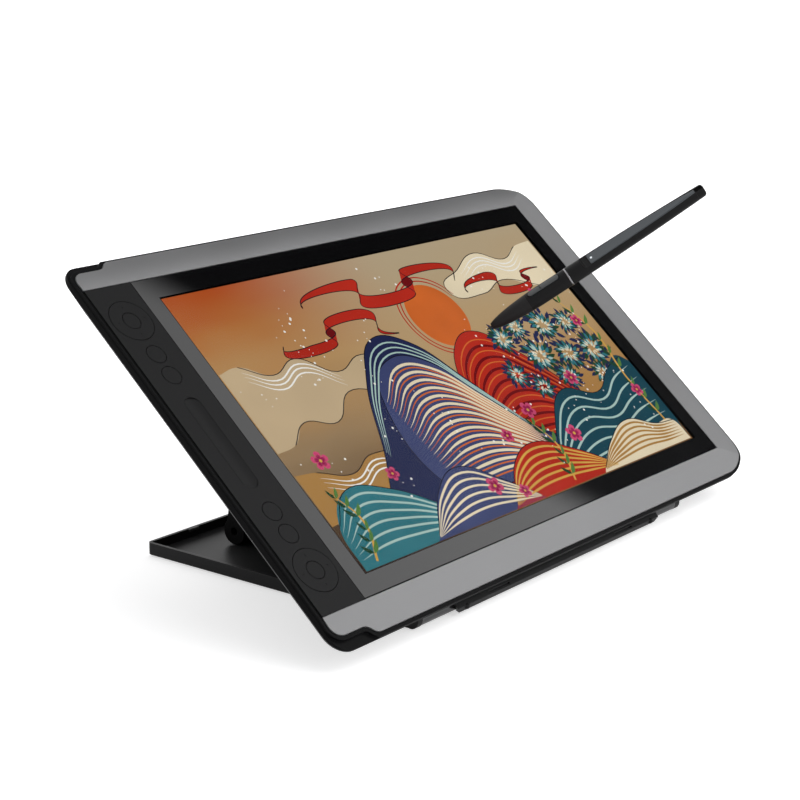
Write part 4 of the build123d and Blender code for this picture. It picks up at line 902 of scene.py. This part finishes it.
# The floor's own light for the camera and through glass, and the part of it that glossy surfaces mirror
FLOOR_LIFT = 0.58
FLOOR_GLOSS_LIFT = 0.3
WORLD_LIGHT = 0.45
CARD_DISTANCE = 1.3
CARD_SIZE = 2.4
CARD_LIGHT = 1.2
CARD_UPPER_SHARE = 0.75
# Two places in the photograph on the soft edge of what the glass mirrors
MIRROR_EDGE_UPPER = (158, 288)
MIRROR_EDGE_LOWER = (572, 498)
MIRROR_SOFTNESS = 0.025
MIRROR_BAND = 0.36
# The place in the photograph where the silver frame is brightest
GLEAM_AT = (690, 480)


def pixel_ray(pixel):
    """The way from the camera to a place in the photograph."""
    x = (pixel[0] - IMAGE_SIZE / 2) / IMAGE_SIZE * SENSOR_WIDTH / CAMERA_LENS
    y = (IMAGE_SIZE / 2 - pixel[1]) / IMAGE_SIZE * SENSOR_WIDTH / CAMERA_LENS
    return (camera_turn().to_3x3() @ Vector((x, y, -1))).normalized()


def mirrored(ray):
    """A way after the glass has mirrored it."""
    return ray - 2 * ray.dot(OUT) * OUT


def on_glass(ray):
    """Where a way from the camera meets the plane of the lit area."""
    return CAMERA_PLACE + ray * ((SCREEN_CENTRE - CAMERA_PLACE).dot(OUT) / ray.dot(OUT))


CARD_FACING = mirrored((SCREEN_CENTRE - CAMERA_PLACE).normalized())
CARD_CENTRE = SCREEN_CENTRE + CARD_FACING * CARD_DISTANCE


def on_card(pixel):
    """The place on the card that the glass shows at a place in the photograph."""
    ray = pixel_ray(pixel)
    start, way = on_glass(ray), mirrored(ray)
    return start + way * ((CARD_CENTRE - start).dot(CARD_FACING) / way.dot(CARD_FACING))


def studio_floor():
    """A pale floor that the camera and mirrors see as white, and that keeps the shadow."""
    shape = bmesh.new()
    bmesh.ops.create_grid(shape, x_segments=1, y_segments=1, size=FLOOR_SIZE / 2,
                          matrix=Matrix.Translation((0, 0, -FLOOR_DROP)))
    mesh = mesh_of(shape, "floor")
    floor = bpy.data.objects.new("floor", mesh)
    bpy.context.scene.collection.objects.link(floor)
    material, tree, shader = new_material("pale floor")
    shader.inputs["Base Color"].default_value = FLOOR_COLOUR
    shader.inputs["Roughness"].default_value = FLOOR_ROUGHNESS
    shader.inputs["Specular IOR Level"].default_value = 0.0
    path = add(tree, "ShaderNodeLightPath")
    seen = maths(tree, "MAXIMUM", path.outputs["Is Camera Ray"], path.outputs["Is Transmission Ray"])
    lift = maths(tree, "ADD", maths(tree, "MULTIPLY", seen, FLOOR_LIFT),
                 maths(tree, "MULTIPLY", path.outputs["Is Glossy Ray"], FLOOR_GLOSS_LIFT))
    shader.inputs["Emission Color"].default_value = WHITE
    tree.links.new(lift, shader.inputs["Emission Strength"])
    mesh.materials.append(material)


def studio_card():
    """A dark card with one lit band, which only mirror-like surfaces see."""
    upper, lower = on_card(MIRROR_EDGE_UPPER), on_card(MIRROR_EDGE_LOWER)
    edge = (lower - upper).normalized()
    across = CARD_FACING.cross(edge)
    if across.dot(on_card((IMAGE_SIZE, 0)) - upper) < 0:
        across = -across
    middle = (upper + lower) / 2
    shape = bmesh.new()
    bmesh.ops.create_grid(shape, x_segments=1, y_segments=1, size=CARD_SIZE / 2)
    turn = Matrix((across, edge, across.cross(edge))).transposed().to_4x4()
    mesh = mesh_of(shape, "card")
    card = bpy.data.objects.new("card", mesh)
    card.matrix_world = Matrix.Translation(middle) @ turn
    bpy.context.scene.collection.objects.link(card)
    material, tree, shader = lit_material("graded card", 0.0)
    place = add(tree, "ShaderNodeTexCoord")
    split = add(tree, "ShaderNodeSeparateXYZ")
    tree.links.new(place.outputs["Object"], split.inputs[0])
    lit = []
    for centre, first, last in ((0.0, CARD_LIGHT, 0.0), (-MIRROR_BAND, 0.0, 1.0)):
        ramp = add(tree, "ShaderNodeMapRange", interpolation_type="SMOOTHSTEP")
        ramp.inputs["From Min"].default_value = centre - MIRROR_SOFTNESS
        ramp.inputs["From Max"].default_value = centre + MIRROR_SOFTNESS
        ramp.inputs["To Min"].default_value = first
        ramp.inputs["To Max"].default_value = last
        tree.links.new(split.outputs["X"], ramp.inputs["Value"])
        lit.append(ramp.outputs[0])
    fall = add(tree, "ShaderNodeMapRange")
    fall.inputs["From Min"].default_value = -MIRROR_BAND
    fall.inputs["From Max"].default_value = MIRROR_BAND
    fall.inputs["To Min"].default_value = CARD_UPPER_SHARE
    tree.links.new(split.outputs["Y"], fall.inputs["Value"])
    strength = maths(tree, "MULTIPLY", maths(tree, "MULTIPLY", *lit), fall.outputs[0])
    tree.links.new(strength, shader.inputs["Emission Strength"])
    shader.inputs["Emission Color"].default_value = WHITE
    mesh.materials.append(material)
    for ray in ("camera", "diffuse", "shadow", "volume_scatter"):
        setattr(card, f"visible_{ray}", False)


def soft_lamp(name, place, spread, strength):
    """A distant lamp as broad as a softbox, shining from its place towards the object."""
    lamp = bpy.data.objects.new(name, bpy.data.lights.new(name, "SUN"))
    lamp.data.angle = radians(spread)
    lamp.data.energy = strength
    lamp.rotation_euler = (-Vector(place)).to_track_quat("-Z", "Y").to_euler()
    bpy.context.scene.collection.objects.link(lamp)


def pale_world():
    """A world that is plain white to the camera and in mirrors, and lights the object more softly."""
    world = bpy.data.worlds.new("studio")
    world.use_nodes = True
    tree = world.node_tree
    ground = tree.nodes["Background"]
    path = add(tree, "ShaderNodeLightPath")
    seen = maths(tree, "MAXIMUM", path.outputs["Is Camera Ray"], path.outputs["Is Glossy Ray"])
    seen = maths(tree, "MAXIMUM", seen, path.outputs["Is Transmission Ray"])
    strength = maths(tree, "ADD", maths(tree, "MULTIPLY", seen, 1.0 - WORLD_LIGHT), WORLD_LIGHT)
    ground.inputs["Color"].default_value = WHITE
    tree.links.new(strength, ground.inputs["Strength"])
    bpy.context.scene.world = world


LAMPS = (("key lamp", (0.8, -0.35, 2.0), 70.0, 1.1),
         ("front lamp", (0.9, -1.8, 1.1), 50.0, 0.9),
         ("back lamp", (0.2, 1.6, 1.3), 90.0, 0.6),
         ("gleam lamp", mirrored(pixel_ray(GLEAM_AT)), 18.0, 0.68))
studio_floor()
studio_card()
pale_world()
for lamp_row in LAMPS:
    soft_lamp(*lamp_row)
bpy.context.scene.view_settings.view_transform = "Standard"
